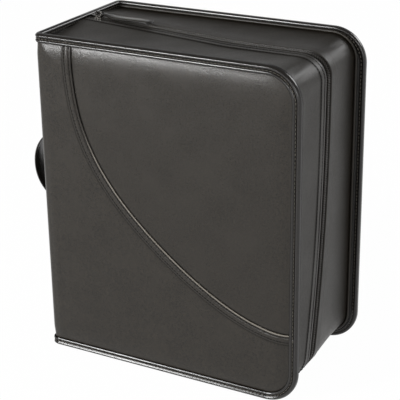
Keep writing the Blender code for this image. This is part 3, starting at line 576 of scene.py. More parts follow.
# %% The skin round the lower left, the spine and the back
def make_outer_skin():
    """The front part fans out from the seam to the fold and the lower rim; the rest is a plain grid."""
    path = np.concatenate([[[FRONT_RUN, SKIN_HIGH], [FRONT_RUN, SKIN_LOW]],
                           rim_arc((CORNER_R, CORNER_R), -90, 0)])
    far = outline_of(path, len(SEAM))
    down = int(np.argmin(np.hypot(far[:, 0] - FRONT_RUN, far[:, 1] - SKIN_LOW)))
    far[:down + 1] = np.stack([np.full(down + 1, FRONT_RUN), np.linspace(SKIN_HIGH, SKIN_LOW, down + 1)], 1)
    u, z, away = fan(SEAM, SEAM_SIDE, far, 0.012, 22, 40)
    front = fold(u, z, skin_height(u, z, away, SEAM_AT[:, None]))

    radius = CORNER_R - EDGE_IN
    bends = FRONT_RUN + FOLD_RUN * np.linspace(0, 1, 9)
    spine = np.linspace(bends[-1], WRAP_LEN - bends[-1], 20)[1:-1]
    rounding = CORNER_R - radius * np.sin(np.radians(np.linspace(0, 90, 16)))[1:]
    cover = WRAP_LEN - np.concatenate([np.linspace(FRONT_RUN, CORNER_R, 70)[1:], rounding])
    across = np.concatenate([bends, spine, WRAP_LEN - bends[::-1], cover])
    v = np.minimum(WRAP_LEN - across, CORNER_R)
    drop = (radius - np.sqrt(np.maximum(radius ** 2 - (CORNER_R - v) ** 2, 0.0)))[None, :]
    share = (far[:down + 1, 1:] - SKIN_LOW) / (SKIN_HIGH - SKIN_LOW)
    u = np.broadcast_to(across[None, :], (down + 1, len(across)))
    z = SKIN_LOW + drop + (SKIN_HIGH - SKIN_LOW - 2 * drop) * share
    rest = fold(u, z, SKIN_OUT + crown(u, z))
    return slab("wrap_skin", [front, rest], [seam_painted_light(away), 0.0])

wrap_skin = make_outer_skin()
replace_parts(wrap_skin, "outer_skin")

# %% [markdown]
# ## Stitches
# Each stitch is a few millimetres of thread that dives into a hole at both ends. One small round shape is
# repeated along a line, turned to the line's own axes, so a thousand stitches cost little.

# %% The two rows beside the seam
THREAD_R, THREAD_UP = 0.00034, 0.00022

def seam_stitches():
    """One row in each groove, at the skin's own height there."""
    rows = []
    for row in SEAM_ROWS:
        flat = SEAM + SEAM_SIDE * row
        keep = flat[:, 0] > EDGE_IN
        u, z = flat[keep].T
        height = skin_height(u, z, row, SEAM_AT[keep]) + THREAD_UP
        rows.append(stations(lambda up: fold(u, z, height + up), SEAM_PITCH))
    return repeated("seam_stitches", stitch_shape(0.0024, THREAD_R), rows, DARK_THREAD)

seam_stitches()

# %% [markdown]
# ## The edge binding
# A folded strip covers the raw edges of the cover, its board and lining. Its rim is a plump roll, and one
# row of stitches goes through both legs, which draws a groove. The section is carried round the flat
# wrap's rim and folded with it.

# %% The binding's path and section
BINDING_STITCH_IN, BINDING_PITCH, BINDING_STEP = 0.0050, 0.0040, 0.00125
ROLL_H, GROOVE_H, HOLE_H, PUFF_H = 0.00065, 0.00045, 0.00025, 0.00070
ROLL_IN, PUFF_IN = 0.0022, 0.0072

def binding_path(step):
    """Flat wrap stations (u, z, way out in u, way out in z) round the whole rim at an even step. A radius out
    from the corners' centres, each stretch runs straight to the next centre and then turns round it."""
    far, high = WRAP_LEN - CORNER_R, COVER_H - CORNER_R
    low = CORNER_R
    centres = np.array([(low, low), (far, low), (far, high), (low, high), (low, low)])
    turn = np.linspace(0, math.pi / 2, max(int(CORNER_R * math.pi / 2 / step), 6), endpoint=False)
    path = []
    for start, end, angle in zip(centres, centres[1:], np.radians([-90, 0, 90, 180])):
        share = np.linspace(0, 1, int(np.abs(end - start).max() / step), endpoint=False)[:, None]
        for centre, ways in ((start + (end - start) * share, angle + 0 * share[:, 0]), (end, angle + turn)):
            out = np.stack([np.cos(ways), np.sin(ways)], 1)
            path.append(np.concatenate([centre + CORNER_R * out, out], 1))
    return np.concatenate(path)

def binding_section():
    """Points (height, inward) of the folded strip, outer leg first, round the nose to the inner leg."""
    r, t = BINDING_ROUND, BINDING_T
    def arc(height, radius, start, end, n):
        turn = np.radians(np.linspace(start, end, n))
        return np.stack([height + radius * np.cos(turn), r + radius * np.sin(turn)], 1)
    outer = np.stack([np.zeros(12), np.linspace(BINDING_W - 0.0006, r + 0.0002, 12)], 1)
    back = np.stack([np.full(5, -COVER_T), np.linspace(r + 0.0004, BINDING_INNER_W - 0.0004, 5)], 1)
    return np.concatenate([
        [[-t, BINDING_W - 0.0001], [-t * 0.5, BINDING_W], [-t * 0.15, BINDING_W - 0.0002]], outer,
        arc(-r, r, 0, -90, 7), arc(r - COVER_T, r, -90, -180, 7), back,
        [[-COVER_T + t * 0.5, BINDING_INNER_W], [t - COVER_T, BINDING_INNER_W - 0.0002]],
        arc(r - COVER_T, r - t, -180, -90, 4), arc(-r, r - t, -90, 0, 4)])

print("the rim has", len(binding_path(BINDING_STEP)), "stations of", len(binding_section()), "points")

# %% The binding's swell and creases
def outer_leg(height):
    """1 on the leg that shows outside, 0 on the rest of the section."""
    return smooth((height + 0.0004) / 0.0003)

def binding_swell(height, inward, along):
    """How far the strip stands out: a plump roll at the rim, a groove beside it and a dip at each hole."""
    roll = ROLL_H * bell(inward, ROLL_IN, 0.0012)
    groove = (GROOVE_H + HOLE_H * holes(along, BINDING_PITCH)) * bell(inward, BINDING_STITCH_IN, 0.0009)
    return outer_leg(height) * (roll - groove + PUFF_H * bell(inward, PUFF_IN, 0.0011))

def binding_painted_shade(height, inward, along, front):
    """Painted shade in the groove and its holes, behind the roll, along the strip's edge, on the leg inside,
    and on the far side of the front cover's nose.
    """
    hole = smooth(holes(along, BINDING_PITCH))
    groove = (0.75 + 0.25 * hole) * bell(inward, BINDING_STITCH_IN, 0.00095)
    behind_roll = 0.45 * bell(inward, 0.0038, 0.0005)
    inner_leg = 0.8 * smooth((0.0010 - height - COVER_T) / 0.0006) * bell(inward, 0.0034, 0.0013)
    far_side = 0.75 * front * bell(height, -0.0042, 0.0013) * smooth((0.0010 - inward) / 0.0006)
    return outer_leg(height) * (groove + behind_roll) + bell(inward, BINDING_W, 0.0007) + inner_leg + far_side

def make_binding():
    """The section at each station, laid inwards from the rim and folded with the wrap."""
    path = binding_path(BINDING_STEP)
    height, inward = binding_section().T[:, None, :]
    along = np.arange(len(path))[:, None] * BINDING_STEP
    rings = fold(path[:, :1] - path[:, 2:3] * inward, path[:, 1:2] - path[:, 3:] * inward,
                 height + binding_swell(height, inward, along))
    painted_shading = binding_painted_shade(height, inward, along, path[:, :1] < WRAP_LEN / 2)
    return carried("bound_rim", rings, BINDING_FINISH, closed=True, painted_shading=painted_shading)

bound_rim = make_binding()
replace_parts(bound_rim, "edge_binding")

def binding_stitches():
    """The row shows in the outer leg's groove, and again on the inner leg."""
    path = binding_path(0.002)
    rows = []
    for inward, height, out in ((BINDING_STITCH_IN, -0.00010, 1.0), (0.0040, -COVER_T - 0.0001, -1.0)):
        u, z = path[:, 0] - path[:, 2] * inward, path[:, 1] - path[:, 3] * inward
        rows.append(stations(lambda up: fold(u, z, height + up * out), BINDING_PITCH))
    return repeated("binding_stitches", stitch_shape(0.0030, 0.00042), rows, THREAD)

binding_stitches()

# %% [markdown]
# ## The gusset
# Two soft walls run from the covers to the zip, round three sides. The place along the rim is s, and t goes
# from the cover to the folded edge beside the zip. The walls sag a little, buckle at the rounded corners,
# and end in a stitched double edge.

# %% The rim's line and the zip's line
GUSSET_T, GUSSET_R, GUSSET_SAG, GUSSET_BAND, WELT_R = 0.0012, 0.024, 0.0010, 0.0110, 0.0014
RIM_START, RIM_TOP, RIM_SIDE, INSET_BOTTOM = -0.1375, 0.3380, 0.1345, 0.0100
LINING_FACE = -0.0053
ZIP_OPENING = 0.012
RUN_TOP = RIM_SIDE - GUSSET_R - RIM_START
RUN_ARC = GUSSET_R * math.pi / 2
RUN_SIDE = RIM_TOP - INSET_BOTTOM - 2 * GUSSET_R
RUN_TOTAL = 2 * RUN_TOP + 2 * RUN_ARC + RUN_SIDE

def place(s, y, rise):
    """A point at s along the rim line and rise out from it: along the top, down the side, back below."""
    s, y, rise = np.broadcast_arrays(*(np.asarray(a, float) for a in (s, y, rise)))
    turn = np.clip((s - RUN_TOP) / GUSSET_R, 0, math.pi / 2)
    turn = turn + np.clip((s - RUN_TOP - RUN_ARC - RUN_SIDE) / GUSSET_R, 0, math.pi / 2)
    back = np.maximum(s - RUN_TOTAL + RUN_TOP, 0.0)
    down = np.clip(s - RUN_TOP - RUN_ARC, 0.0, RUN_SIDE)
    x = RIM_START + np.minimum(s, RUN_TOP) + (GUSSET_R + rise) * np.sin(turn) - back
    z = RIM_TOP - GUSSET_R + (GUSSET_R + rise) * np.cos(turn) - down
    return np.stack([x + SHIFT_X, y, z], -1)

ZIP_STRAIGHT, ZIP_EASE, ACROSS_SLOPE, RISE_SLOPE = 0.160, 0.030, -0.093, -0.0285
ACROSS_START, ACROSS_SIDE, ACROSS_END = 0.0191, -0.0312, -0.012
RISE_START, RISE_SIDE, RISE_END = 0.0030, 0.0020, 0.0010

def eased(s, slope):
    """Change along the zip's straight stretch, which dies away over the ease."""
    over = np.clip(s - ZIP_STRAIGHT, 0.0, ZIP_EASE)
    return slope * (np.minimum(s, ZIP_STRAIGHT) + over - over ** 2 / (2 * ZIP_EASE))

def zip_across(s):
    """The zip's place between the covers: straight along the top, then drifting forwards and back."""
    across = ACROSS_START + eased(s, ACROSS_SLOPE)
    down = np.clip((s - RUN_TOP - RUN_ARC) / (RUN_SIDE + RUN_ARC), 0.0, 1.0)
    across = across + (ACROSS_SIDE - across) * down ** 2.3
    return across + (ACROSS_END - across) * smooth((s - RUN_TOP - 2 * RUN_ARC - RUN_SIDE) / RUN_TOP)

def zip_rise(s):
    """The gusset's height at the zip, above the rim line."""
    rise = RISE_START + eased(s, RISE_SLOPE)
    rise = rise + (RISE_SIDE - rise) * smooth((s - RUN_TOP) / RUN_ARC)
    return rise + (RISE_END - rise) * smooth((s - RUN_TOTAL + RUN_TOP) / RUN_TOP)

print("the zip is", round(RUN_TOTAL * 1000), "mm long")

# %% The two walls
GUSSET_ROWS, GUSSET_PITCH, GUSSET_ROW_W, GUSSET_DIP = (0.0043, 0.0115), 0.0036, 0.0008, 0.0005
HEM_W, HEM_LIFT = 0.0130, 0.00040
WAVE, BUCKLE, BUCKLE_RUN, BUCKLE_PITCH = 0.00018, 0.00020, 0.020, 0.011

def gusset_height(s, t, from_edge, side):
    """Rise of a wall: its sag, soft waves, folds at the corners, and the double edge with its groove."""
    rise = zip_rise(s) * smooth(t) - GUSSET_SAG * 4 * t * (1 - t)
    waist = np.sin(math.pi * np.clip(t, 0, 1)) ** 2
    wave = np.sin(61 * s + 2.1 * side) + 0.6 * np.sin(143 * s + 1.3 + 5 * t * side)
    rise = rise + WAVE * wave * waist
    for corner in (RUN_TOP + RUN_ARC / 2, RUN_TOTAL - RUN_TOP - RUN_ARC / 2):
        folds = np.sin(2 * math.pi * (s - corner) / BUCKLE_PITCH + 2.0 * t)
        rise = rise + BUCKLE * bell(s, corner, BUCKLE_RUN) * waist * folds
    edge = HEM_LIFT * smooth((HEM_W - from_edge) / 0.0014)
    if side < 0:
        dip = GUSSET_DIP * (0.2 + 0.8 * holes(s, GUSSET_PITCH))
        for row in GUSSET_ROWS:
            edge = edge - dip * bell(from_edge, row, GUSSET_ROW_W)
    return rise + edge - 0.0008 * rounded_drop(from_edge, 0.0007)

def wall_painted_shade(s, to_cover, from_edge, side):
    """Painted shade where the wall meets its cover, behind its hem, and in the front wall's two rows."""
    painted_shading = 0.6 * bell(to_cover, 0.0, 0.0013) + 0.25 * bell(from_edge, HEM_W, 0.0009)
    if side < 0:
        rows = sum(bell(from_edge, row, GUSSET_ROW_W) for row in GUSSET_ROWS)
        painted_shading = painted_shading + (0.2 + 0.3 * smooth(holes(s, GUSSET_PITCH)) ** 2) * rows
    return painted_shading

def make_wall(word, side):
    """Rows of points from the zip's edge to the cover, fine over the hem, and the same rows back inside."""
    s = np.linspace(0.0, RUN_TOTAL, int(RUN_TOTAL / 0.0018))[:, None]
    cover_y = side * (CASE_D / 2 + LINING_FACE - CLEAR)
    edge_y = zip_across(s) + side * ZIP_OPENING / 2
    reach = np.abs(cover_y - edge_y)
    near_edge = np.concatenate([[0.0, 0.0002, 0.0005], np.linspace(0.001, HEM_W + 0.0015, 28)])[None, :]
    hem = np.minimum(near_edge, 0.45 * reach)
    share = 1 - np.linspace(1.0, 0.0, 22)[None, 1:]
    from_edge = np.concatenate([hem, hem[:, -1:] + (reach - hem[:, -1:]) * share], 1)
    y = edge_y + side * from_edge
    t = np.clip((reach - from_edge) / (reach - GUSSET_BAND), 0.0, 1.0)
    rise = gusset_height(s, t, from_edge, side)
    rings = np.concatenate([place(s, y, rise), place(s, y[:, ::-1], rise[:, ::-1] - GUSSET_T)], 1)
    painted_shading = wall_painted_shade(s, reach - from_edge, from_edge, side)
    painted_shading = np.concatenate([painted_shading, 0 * painted_shading], 1)
    return carried(f"{word}_gusset_wall", rings, GUSSET_FINISH, painted_shading=painted_shading)

SIDES = (("front", -1), ("back", 1))
for word, side in SIDES:
    wall = make_wall(word, side)
    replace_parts(wall, f"{word}_gusset")

def gusset_stitches():
    """The hem of the front wall has two rows; the back wall's edge is turned under without any."""
    s = np.linspace(0.002, RUN_TOTAL - 0.002, 1500)
    rows = []
    for row in GUSSET_ROWS:
        y = zip_across(s) - (ZIP_OPENING / 2 + row)
        rise = gusset_height(s, np.ones_like(s), np.full_like(s, row), -1) + THREAD_UP
        rows.append(stations(lambda up: place(s, y, rise + up), GUSSET_PITCH))
    return repeated("gusset_stitches", stitch_shape(0.0026, THREAD_R), rows, DARK_THREAD)

gusset_stitches()

# %% Piping where each wall meets its cover
def make_piping(word, side):
    """A round cord carried along the foot of the wall, on its slope."""
    s = np.linspace(0.0, RUN_TOTAL, 420)[:, None]
    y = side * (CASE_D / 2 - COVER_T - CLEAR - WELT_R)
    reach = abs(zip_across(0.0) + side * ZIP_OPENING / 2 - y)
    lift = WELT_R + CLEAR + RISE_START * smooth(2 * WELT_R / reach)
    turn = full_turn(10)[None, :]
    rings = place(s, y + WELT_R * np.cos(turn), lift + WELT_R * np.sin(turn))
    return carried(f"{word}_piping", rings, GUSSET_FINISH)

for word, side in SIDES:
    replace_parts(make_piping(word, side), f"{word}_welt")

# %% [markdown]
# ## The zip
# Two woven tapes carry a row of moulded teeth each. The teeth of one row sit between those of the other,
# half a pitch on, with their heads hooked past the middle line.

# %% Tapes and teeth
TAPE_TOP, TAPE_T, TAPE_GAP, TAPE_LAP = -0.0019, 0.0007, 0.0040, 0.0035
TEETH_BOTTOM, TEETH_H, TEETH_START, FINE_PITCH, TOOTH_FULL = -0.0016, 0.0020, 0.0110, 0.0024, 1.15

def make_tape(word, side):
    """A flat strip from beside the teeth to under the wall's edge."""
    s = np.linspace(0.0, RUN_TOTAL, 500)[:, None]
    near, far = TAPE_GAP / 2, ZIP_OPENING / 2 + TAPE_LAP
    across = side * np.array([[near, far, far, near]])
    height = TAPE_TOP - TAPE_T * np.array([[0, 0, 1, 1]])
    rings = place(s, zip_across(s) + across, zip_rise(s) + height)
    return carried(f"{word}_tape", rings, TAPE)

def tooth_shape(side):
    """A moulded tooth across the zip: a foot on the tape, a waist, and a round head past the middle."""
    reach = np.array([2.7, 2.5, 1.9, 1.2, 0.6, 0.0, -0.5, -0.8, -0.95]) * 0.001 * side
    half = np.array([0.40, 0.55, 0.55, 0.42, 0.36, 0.52, 0.60, 0.50, 0.30]) * 0.001
    tall = np.array([0.6, 0.9, 1.0, 1.0, 0.95, 0.95, 0.95, 0.85, 0.6]) * TEETH_H / 2
    turn = np.radians([35, 90, 145, 215, 270, 325])
    ring = np.stack([np.cos(turn), np.zeros(6), np.sin(turn)], 1)
    scale = np.stack([half, np.ones_like(half), tall], 1)[:, None, :]
    return ring[None] * scale * TOOTH_FULL + np.stack([0 * reach, reach, 0 * reach], 1)[:, None, :]

def make_teeth(word, side):
    """One row at an even pitch; the two rows start a quarter and three quarters of a pitch in."""
    s = np.linspace(TEETH_START, RUN_TOTAL, 1500)
    y, rise = zip_across(s), zip_rise(s) + TEETH_BOTTOM + TEETH_H / 2
    places = stations(lambda up: place(s, y, rise + up), FINE_PITCH, 0.5 + 0.25 * side)
    return repeated(f"{word}_teeth", tooth_shape(side), [places], TEETH)

for word, side in SIDES:
    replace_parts(make_tape(word, side), f"zip_tape_{word}")
    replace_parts(make_teeth(word, side), f"zip_teeth_{word}")

# %% [markdown]
# ## The handle
# A padded strap is sewn to the spine at both ends and stands out in a loop. Its section is a flat oval,
# thinner at the stitched edges, carried along the loop.

# %% Handle
HANDLE_REACH, HANDLE_Z, HANDLE_HALF = 0.058, 0.178, 0.060
HANDLE_TAIL, HANDLE_W, HANDLE_T = 0.022, 0.030, 0.0038
SPINE_X = SHIFT_X - COVER_W / 2 - SKIN_OUT

def handle_line():
    """Distance out of the spine and height along the strap, from the top tail to the lower tail."""
    flat, reach, rise = HANDLE_T / 2 + CLEAR, HANDLE_REACH - HANDLE_T / 2, HANDLE_HALF
    corners = ((flat, rise), (flat, rise - 0.014), (reach, rise - 0.016), (reach, 0.0))
    upper = cubic(*(np.array(corner) for corner in corners), 60)
    tail = np.stack([np.full(8, flat), np.linspace(rise + HANDLE_TAIL, rise, 8, endpoint=False)], 1)
    upper = np.concatenate([tail, upper])
    return np.concatenate([upper, upper[-2::-1] * (1, -1)])

def boxed(wave, power):
    """A sine or cosine pushed out towards a box: its sign times its size to a power below 1."""
    return np.sign(wave) * np.abs(wave) ** power

def make_handle():
    """A boxed oval, thinner where its edges are stitched, set square to the strap's line."""
    line = handle_line()
    way = unit(np.gradient(line, axis=0))
    square = np.stack([way[:, 1], -way[:, 0]], 1)
    turn = full_turn(28)
    across = boxed(np.cos(turn), 0.55) * HANDLE_W / 2
    thin = 1 - 0.35 * bell(np.abs(across) / (HANDLE_W / 2), 0.84, 0.07)
    off = boxed(np.sin(turn), 0.8) * HANDLE_T / 2 * thin
    out = line[:, None, :] + square[:, None, :] * off[None, :, None]
    x = SPINE_X - out[..., 0]
    rings = np.stack([x, np.broadcast_to(across[None, :], x.shape), HANDLE_Z + out[..., 1]], -1)
    return carried("handle_loop", rings, BINDING_FINISH, sharp=70.0)

handle_loop = make_handle()
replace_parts(handle_loop, "handle_strap")

# %% The sewn patches over the handle's ends
PATCH_W, PATCH_H, PATCH_T, PATCH_GAP = 0.044, 0.030, 0.0012, 0.0010
PATCH_PITCH, PATCH_STITCH_IN = 0.0036, 0.0030
STRAP_LIFT, STRAP_EASE = HANDLE_T + 2 * CLEAR, 0.0045

def patch_height(across):
    """The patch's lower side above the spine: it steps over the strap's end and lies flat beside it."""
    return STRAP_LIFT * smooth((HANDLE_W / 2 + STRAP_EASE - np.abs(across)) / STRAP_EASE)

def box_round(turn, wide, tall, power):
    """A rounded rectangle at given angles: the larger the power, the squarer its corners."""
    reach = (np.abs(np.cos(turn) / wide) ** power + np.abs(np.sin(turn) / tall) ** power) ** (-1 / power)
    return reach * np.cos(turn), reach * np.sin(turn)

def make_patch(word, sign):
    """A soft patch: a rounded rectangle of rings from its middle to its edge, front and back."""
    middle = HANDLE_Z + sign * (HANDLE_HALF + PATCH_GAP + PATCH_H / 2)
    share = np.concatenate([np.linspace(0.02, 0.9, 24), [0.94, 0.97, 0.99, 1.0]])[:, None]
    across, up = box_round(full_turn(120)[None, :], 1.0, 1.0, 4 + 14 * share)
    across, up = PATCH_W / 2 * share * across, PATCH_H / 2 * share * up
    edge = np.minimum(PATCH_W / 2 - np.abs(across), PATCH_H / 2 - np.abs(up))
    stitch = bell(edge, PATCH_STITCH_IN, 0.0007)
    lift = patch_height(across)
    top = lift + PATCH_T - 0.0004 * stitch - 0.0007 * rounded_drop(edge, 0.0009)
    def sheet(height, across, up):
        return np.stack([SPINE_X - CLEAR - height, across, middle + up], -1)
    rings = np.concatenate([sheet(top, across, up), sheet(lift, across, up)[::-1]])
    # Painted shade along the stitched line on the patch's outer face.
    painted_shading = np.concatenate([0.7 * stitch, 0 * stitch])
    made = carried(f"handle_patch_{word}", rings, BINDING_FINISH, sharp=60.0, painted_shading=painted_shading)
    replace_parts(made, f"handle_anchor_{word}")
    wide, tall = PATCH_W / 2 - PATCH_STITCH_IN, PATCH_H / 2 - PATCH_STITCH_IN
    across, up = box_round(np.linspace(0, 2 * math.pi, 400), wide, tall, 14)
    height = patch_height(across) + PATCH_T + 0.0001
    return stations(lambda out: sheet(height + out, across, up), PATCH_PITCH)

patch_rows = [make_patch(word, sign) for word, sign in (("top", 1), ("bottom", -1))]
repeated("patch_stitches", stitch_shape(0.0027, THREAD_R), patch_rows, THREAD)

# %% [markdown]
# ## The pull
# A strip of leatherette is folded round the slider's wire link, its two layers glued and stitched along the
# edges. It lies on the zip, sagging a little, with its rounded tip just off the wall.

# %% The slider's axes and the wire link
SLIDER_AT = 0.0066
WIRE_AXIS, WIRE_R, WIRE_W, WIRE_L, WIRE_CORNER = 0.0031, 0.0007, 0.0090, 0.0100, 0.0018

def slider_axes():
    """The slider's own axes at rest, as rows: along the zip, across it and out of the case."""
    along = np.array([1.0, ACROSS_SLOPE, RISE_SLOPE])
    along /= np.linalg.norm(along)
    out = np.cross(along, (0.0, 1.0, 0.0))
    out /= np.linalg.norm(out)
    return np.stack([along, np.cross(out, along), out])

SLIDER_TURN = slider_axes()
PIVOT = place(SLIDER_AT, zip_across(SLIDER_AT), zip_rise(SLIDER_AT)) + SLIDER_TURN[2] * WIRE_AXIS

def from_pivot(along, across, out):
    """Points given along the zip, across it and out of it from the pivot, in the case's own axes."""
    return PIVOT + np.stack(np.broadcast_arrays(along, across, out), -1) @ SLIDER_TURN

def make_wire():
    """A round wire bent into a rounded rectangle."""
    half, reach, r = WIRE_W / 2 - WIRE_R, WIRE_L - 2 * WIRE_R, WIRE_CORNER
    turn = np.radians(np.linspace(0, 90, 7))
    corner = np.stack([np.cos(turn), np.sin(turn)], 1) * r
    path = []
    for x, y, sx, sy in ((reach - r, half - r, 1, 1), (r, half - r, -1, 1), (r, r - half, -1, -1),
                         (reach - r, r - half, 1, -1)):
        path.append((corner * (sx, sy) + (x, y))[::sx * sy])
    path = np.concatenate(path)
    way = unit(np.roll(path, -1, 0) - np.roll(path, 1, 0))
    ring = full_turn(14)[None, :]
    along = path[:, :1] + WIRE_R * way[:, 1:] * np.cos(ring)
    across = path[:, 1:] - WIRE_R * way[:, :1] * np.cos(ring)
    rings = from_pivot(along, across, WIRE_R * np.sin(ring))
    return carried("wire_link", rings, DARK_METAL, "pull", closed=True)

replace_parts(make_wire(), "pull_wire")

# %% The leatherette pull
PULL_L, PULL_W, PULL_T, PULL_DIP = 0.062, 0.0125, 0.0024, 0.0009
PULL_STITCH_IN, PULL_PITCH, PULL_TIP = 0.0018, 0.0030, 0.006
PULL_START = WIRE_L - 2 * WIRE_R - 0.0019
PULL_SAG_RUN, PULL_LIFT, PULL_LIFT_AT, PULL_LIFT_RUN = 0.0133, 0.0009, 0.016, 0.040
NECK_END, NECK_EASE, TIP_ROUND = 0.0045, 0.0085, 0.005

def pull_rise(along):
    """The strip sags from the link to the zip and lifts again at its tip."""
    lift = (PULL_DIP + PULL_LIFT) * smooth((along - PULL_LIFT_AT) / PULL_LIFT_RUN)
    return lift - PULL_DIP * smooth(along / PULL_SAG_RUN)

def pull_half(along):
    """Half the strip's width: a neck in the link, the full width, and a rounded tip."""
    neck = WIRE_W / 2 - 2 * WIRE_R - CLEAR
    tip = np.sqrt(np.clip(1 - np.clip((along - PULL_L + TIP_ROUND) / TIP_ROUND, 0, 1) ** 2, 0.02, 1))
    return (neck + (PULL_W / 2 - neck) * smooth((along - NECK_END) / NECK_EASE)) * (0.35 + 0.65 * tip)

def make_strip():
    """An oval section with flat faces, thinner along the stitched edges, carried along the strip."""
    along = np.concatenate([[0.0, 0.0002], np.linspace(0.0008, PULL_L - PULL_TIP, 110),
                            PULL_L - PULL_TIP * np.cos(np.linspace(0.05, math.pi / 2, 16))])[:, None]
    turn = full_turn(44)[None, :]
    half = pull_half(along)
    across = boxed(np.cos(turn), 0.5) * half
    in_from_edge = half - np.abs(across)
    thin_tip = 1 - 0.45 * smooth((along - PULL_L + 0.004) / 0.004)
    thick = PULL_T / 2 * (0.80 + 0.20 * smooth(in_from_edge / 0.003)) * thin_tip
    groove = bell(in_from_edge, PULL_STITCH_IN, 0.00055) * smooth((along - 0.009) / 0.004)
    rise = boxed(np.sin(turn), 0.45) * (thick - 0.00035 * groove)
    rings = from_pivot(PULL_START + along, across, rise + pull_rise(along))
    # Painted shade in the stitched grooves, darkest at the holes.
    painted_shading = groove * (0.4 + 0.6 * holes(along, PULL_PITCH))
    return carried("pull_strip", rings, BINDING_FINISH, "pull", sharp=70.0, painted_shading=painted_shading)

pull_strip = make_strip()
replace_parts(pull_strip, "pull_strap")

def pull_stitches():
    """A row along each edge, on the strip's upper face."""
    along = np.linspace(0.012, PULL_L - 0.004, 300)
    rows = []
    for side in (-1, 1):
        across = side * (pull_half(along) - PULL_STITCH_IN)
        height = pull_rise(along) + PULL_T / 2 * 0.92
        rows.append(stations(lambda up: from_pivot(PULL_START + along, across, height + up), PULL_PITCH))
    return repeated("pull_stitches", stitch_shape(0.0022, 0.00026), rows, THREAD, "pull")

pull_stitches()

# %% [markdown]
# ## Cast pieces
# The slider and the end stop are cast or pressed metal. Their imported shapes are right, but a casting has no
# knife edges, so a joined copy of each gets a small bevel.

# %% Slider and end stop with rounded edges
CAST_EDGE = 0.00022

def softened(node, body, name):
    """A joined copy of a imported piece, with its edges rounded by a bevel."""
    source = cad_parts[node]
    data = source.data.copy()
    data.transform(source.matrix_world)
    joined = bmesh.new()
    joined.from_mesh(data)
    bmesh.ops.remove_doubles(joined, verts=joined.verts, dist=0.00001)
    bmesh.ops.dissolve_limit(joined, angle_limit=math.radians(2), verts=joined.verts, edges=joined.edges)
    joined.to_mesh(data)
    joined.free()
    data.materials.clear()
    data.materials.append(DARK_METAL)
    data.set_sharp_from_angle(angle=math.radians(30))
    made = add_object(name, data)
    edge = made.modifiers.new("edge", "BEVEL")
    edge.width, edge.segments, edge.angle_limit = CAST_EDGE, 2, math.radians(35)
    edge.harden_normals = True
    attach(made, body)
    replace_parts(made, node)
    print(name, len(data.polygons), "faces before the bevel")

softened("zip_slider", "slider", "cast_slider")
softened("zip_end_stop", "case", "pressed_stop")

# %% [markdown]
# ## Finishes of the pieces that stay as packed
# The boards, the foam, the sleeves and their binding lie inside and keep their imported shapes.

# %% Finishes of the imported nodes
INSIDE = {FOAM: ("front_foam", "back_foam"), BOARD: ("front_board", "spine_board", "back_board"),
          LINING: ("inner_lining",), SLEEVES: ("page_block",), MOULDED: ("page_channel",),
          METAL: [f"page_post_{number}" for number in range(1, 5)]}
for finish, nodes in INSIDE.items():
    for node in nodes:
        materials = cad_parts[node].data.materials
        materials.clear()
        materials.append(finish)
print("dressed the packed nodes")

# %% [markdown]
# ## Floor and light
# A pale floor takes the shadow. It looks white to the camera and to shiny things because part of what they
# see is a plain white, and not because more light falls on the case. Five lamps stand for soft boxes: two
# at the left, which draw the bright lines on the rims, and weaker ones at the right, behind and in front.

# %% Floor and backdrop
FLOOR_HALF, FLOOR_WHITE = 6.0, 0.985
SKY_STRENGTH, BACKDROP_TOP, BACKDROP_FULL = 0.25, 0.43, 0.05

def seen_white(graph, shader, white_share):
    """Mixes plain white into a surface for rays from the camera, from gloss and through glass."""
    rays = graph.node("ShaderNodeLightPath").outputs
    seen = Amount(graph, rays["Is Camera Ray"])
    for word in ("Is Glossy Ray", "Is Transmission Ray"):
        seen = seen.maths("MAXIMUM", seen, rays[word])
    white = graph.node("ShaderNodeEmission", None, (1.0, 1.0, 1.0))
    return graph.node("ShaderNodeMixShader", None, seen * white_share, shader, white.outputs[0]).outputs[0]

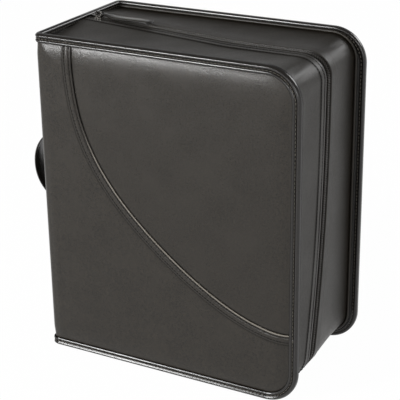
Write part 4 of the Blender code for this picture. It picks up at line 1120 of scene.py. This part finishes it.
def add_floor():
    """One large square at the height that the case stands on."""
    data = bpy.data.meshes.new("floor")
    corners = [(FLOOR_HALF * x, FLOOR_HALF * y, 0) for x, y in ((-1, -1), (1, -1), (1, 1), (-1, 1))]
    data.from_pydata(corners, [], [(0, 1, 2, 3)])
    made = add_object("floor", data)
    finish = Finish("pale_floor", 0.9)
    finish.set("Base Color", (0.80, 0.80, 0.80))
    finish.surface("Material Output", seen_white(finish, finish.shader.outputs[0], FLOOR_WHITE))
    data.materials.append(finish.material)

def add_world():
    """A dim studio whose white backdrop stands up to a height, with a dark ceiling above it."""
    world = bpy.data.worlds.new("studio")
    world.use_nodes = True
    bpy.context.scene.world = world
    studio = Graph(world.node_tree)
    sky = world.node_tree.nodes["Background"]
    studio.plug(sky.inputs["Color"], (1.0, 1.0, 1.0))
    studio.plug(sky.inputs["Strength"], SKY_STRENGTH)
    way = studio.node("ShaderNodeTexCoord").outputs["Generated"]
    height = studio.node("ShaderNodeSeparateXYZ", None, way).outputs["Z"]
    backdrop = studio.range_of(height, BACKDROP_TOP, BACKDROP_FULL)
    studio.surface("World Output", seen_white(studio, sky.outputs[0], backdrop))

add_floor()
add_world()
bpy.context.scene.view_settings.view_transform = "Standard"
print("world", bpy.context.scene.world.name)

# %% Lamps
MIDDLE = (0.0, 0.0, 0.17)
SOFT_BOXES = {
    "left_box": ((-1.03, -1.85, 0.69), MIDDLE, (0.40, 0.46), 34.0),
    "tall_box": ((-0.95, -1.78, 1.20), MIDDLE, (0.30, 0.70), 26.0),
    "right_box": ((1.45, -1.30, 0.75), (0.1, 0.0, 0.17), (0.5, 0.7), 6.0),
    "back_box": ((1.0, 1.78, 1.33), (0.15, 0.0, 0.30), (0.9, 0.9), 17.0),
    "front_box": ((0.49, -1.90, 0.80), MIDDLE, (0.25, 0.25), 6.0)}

def add_lamp(name, at, aim, size, power):
    """A rectangle of light at a place, turned to face its aim, with its power in watts."""
    lamp = bpy.data.lights.new(name, "AREA")
    lamp.shape = "RECTANGLE"
    lamp.size, lamp.size_y = size
    lamp.energy = power
    at, aim = Vector(at), Vector(aim)
    made = add_object(name, lamp)
    made.matrix_world = Matrix.Translation(at) @ (at - aim).to_track_quat("Z", "Y").to_matrix().to_4x4()

for name, values in SOFT_BOXES.items():
    add_lamp(name, *values)
print("lamps", len(bpy.data.lights))
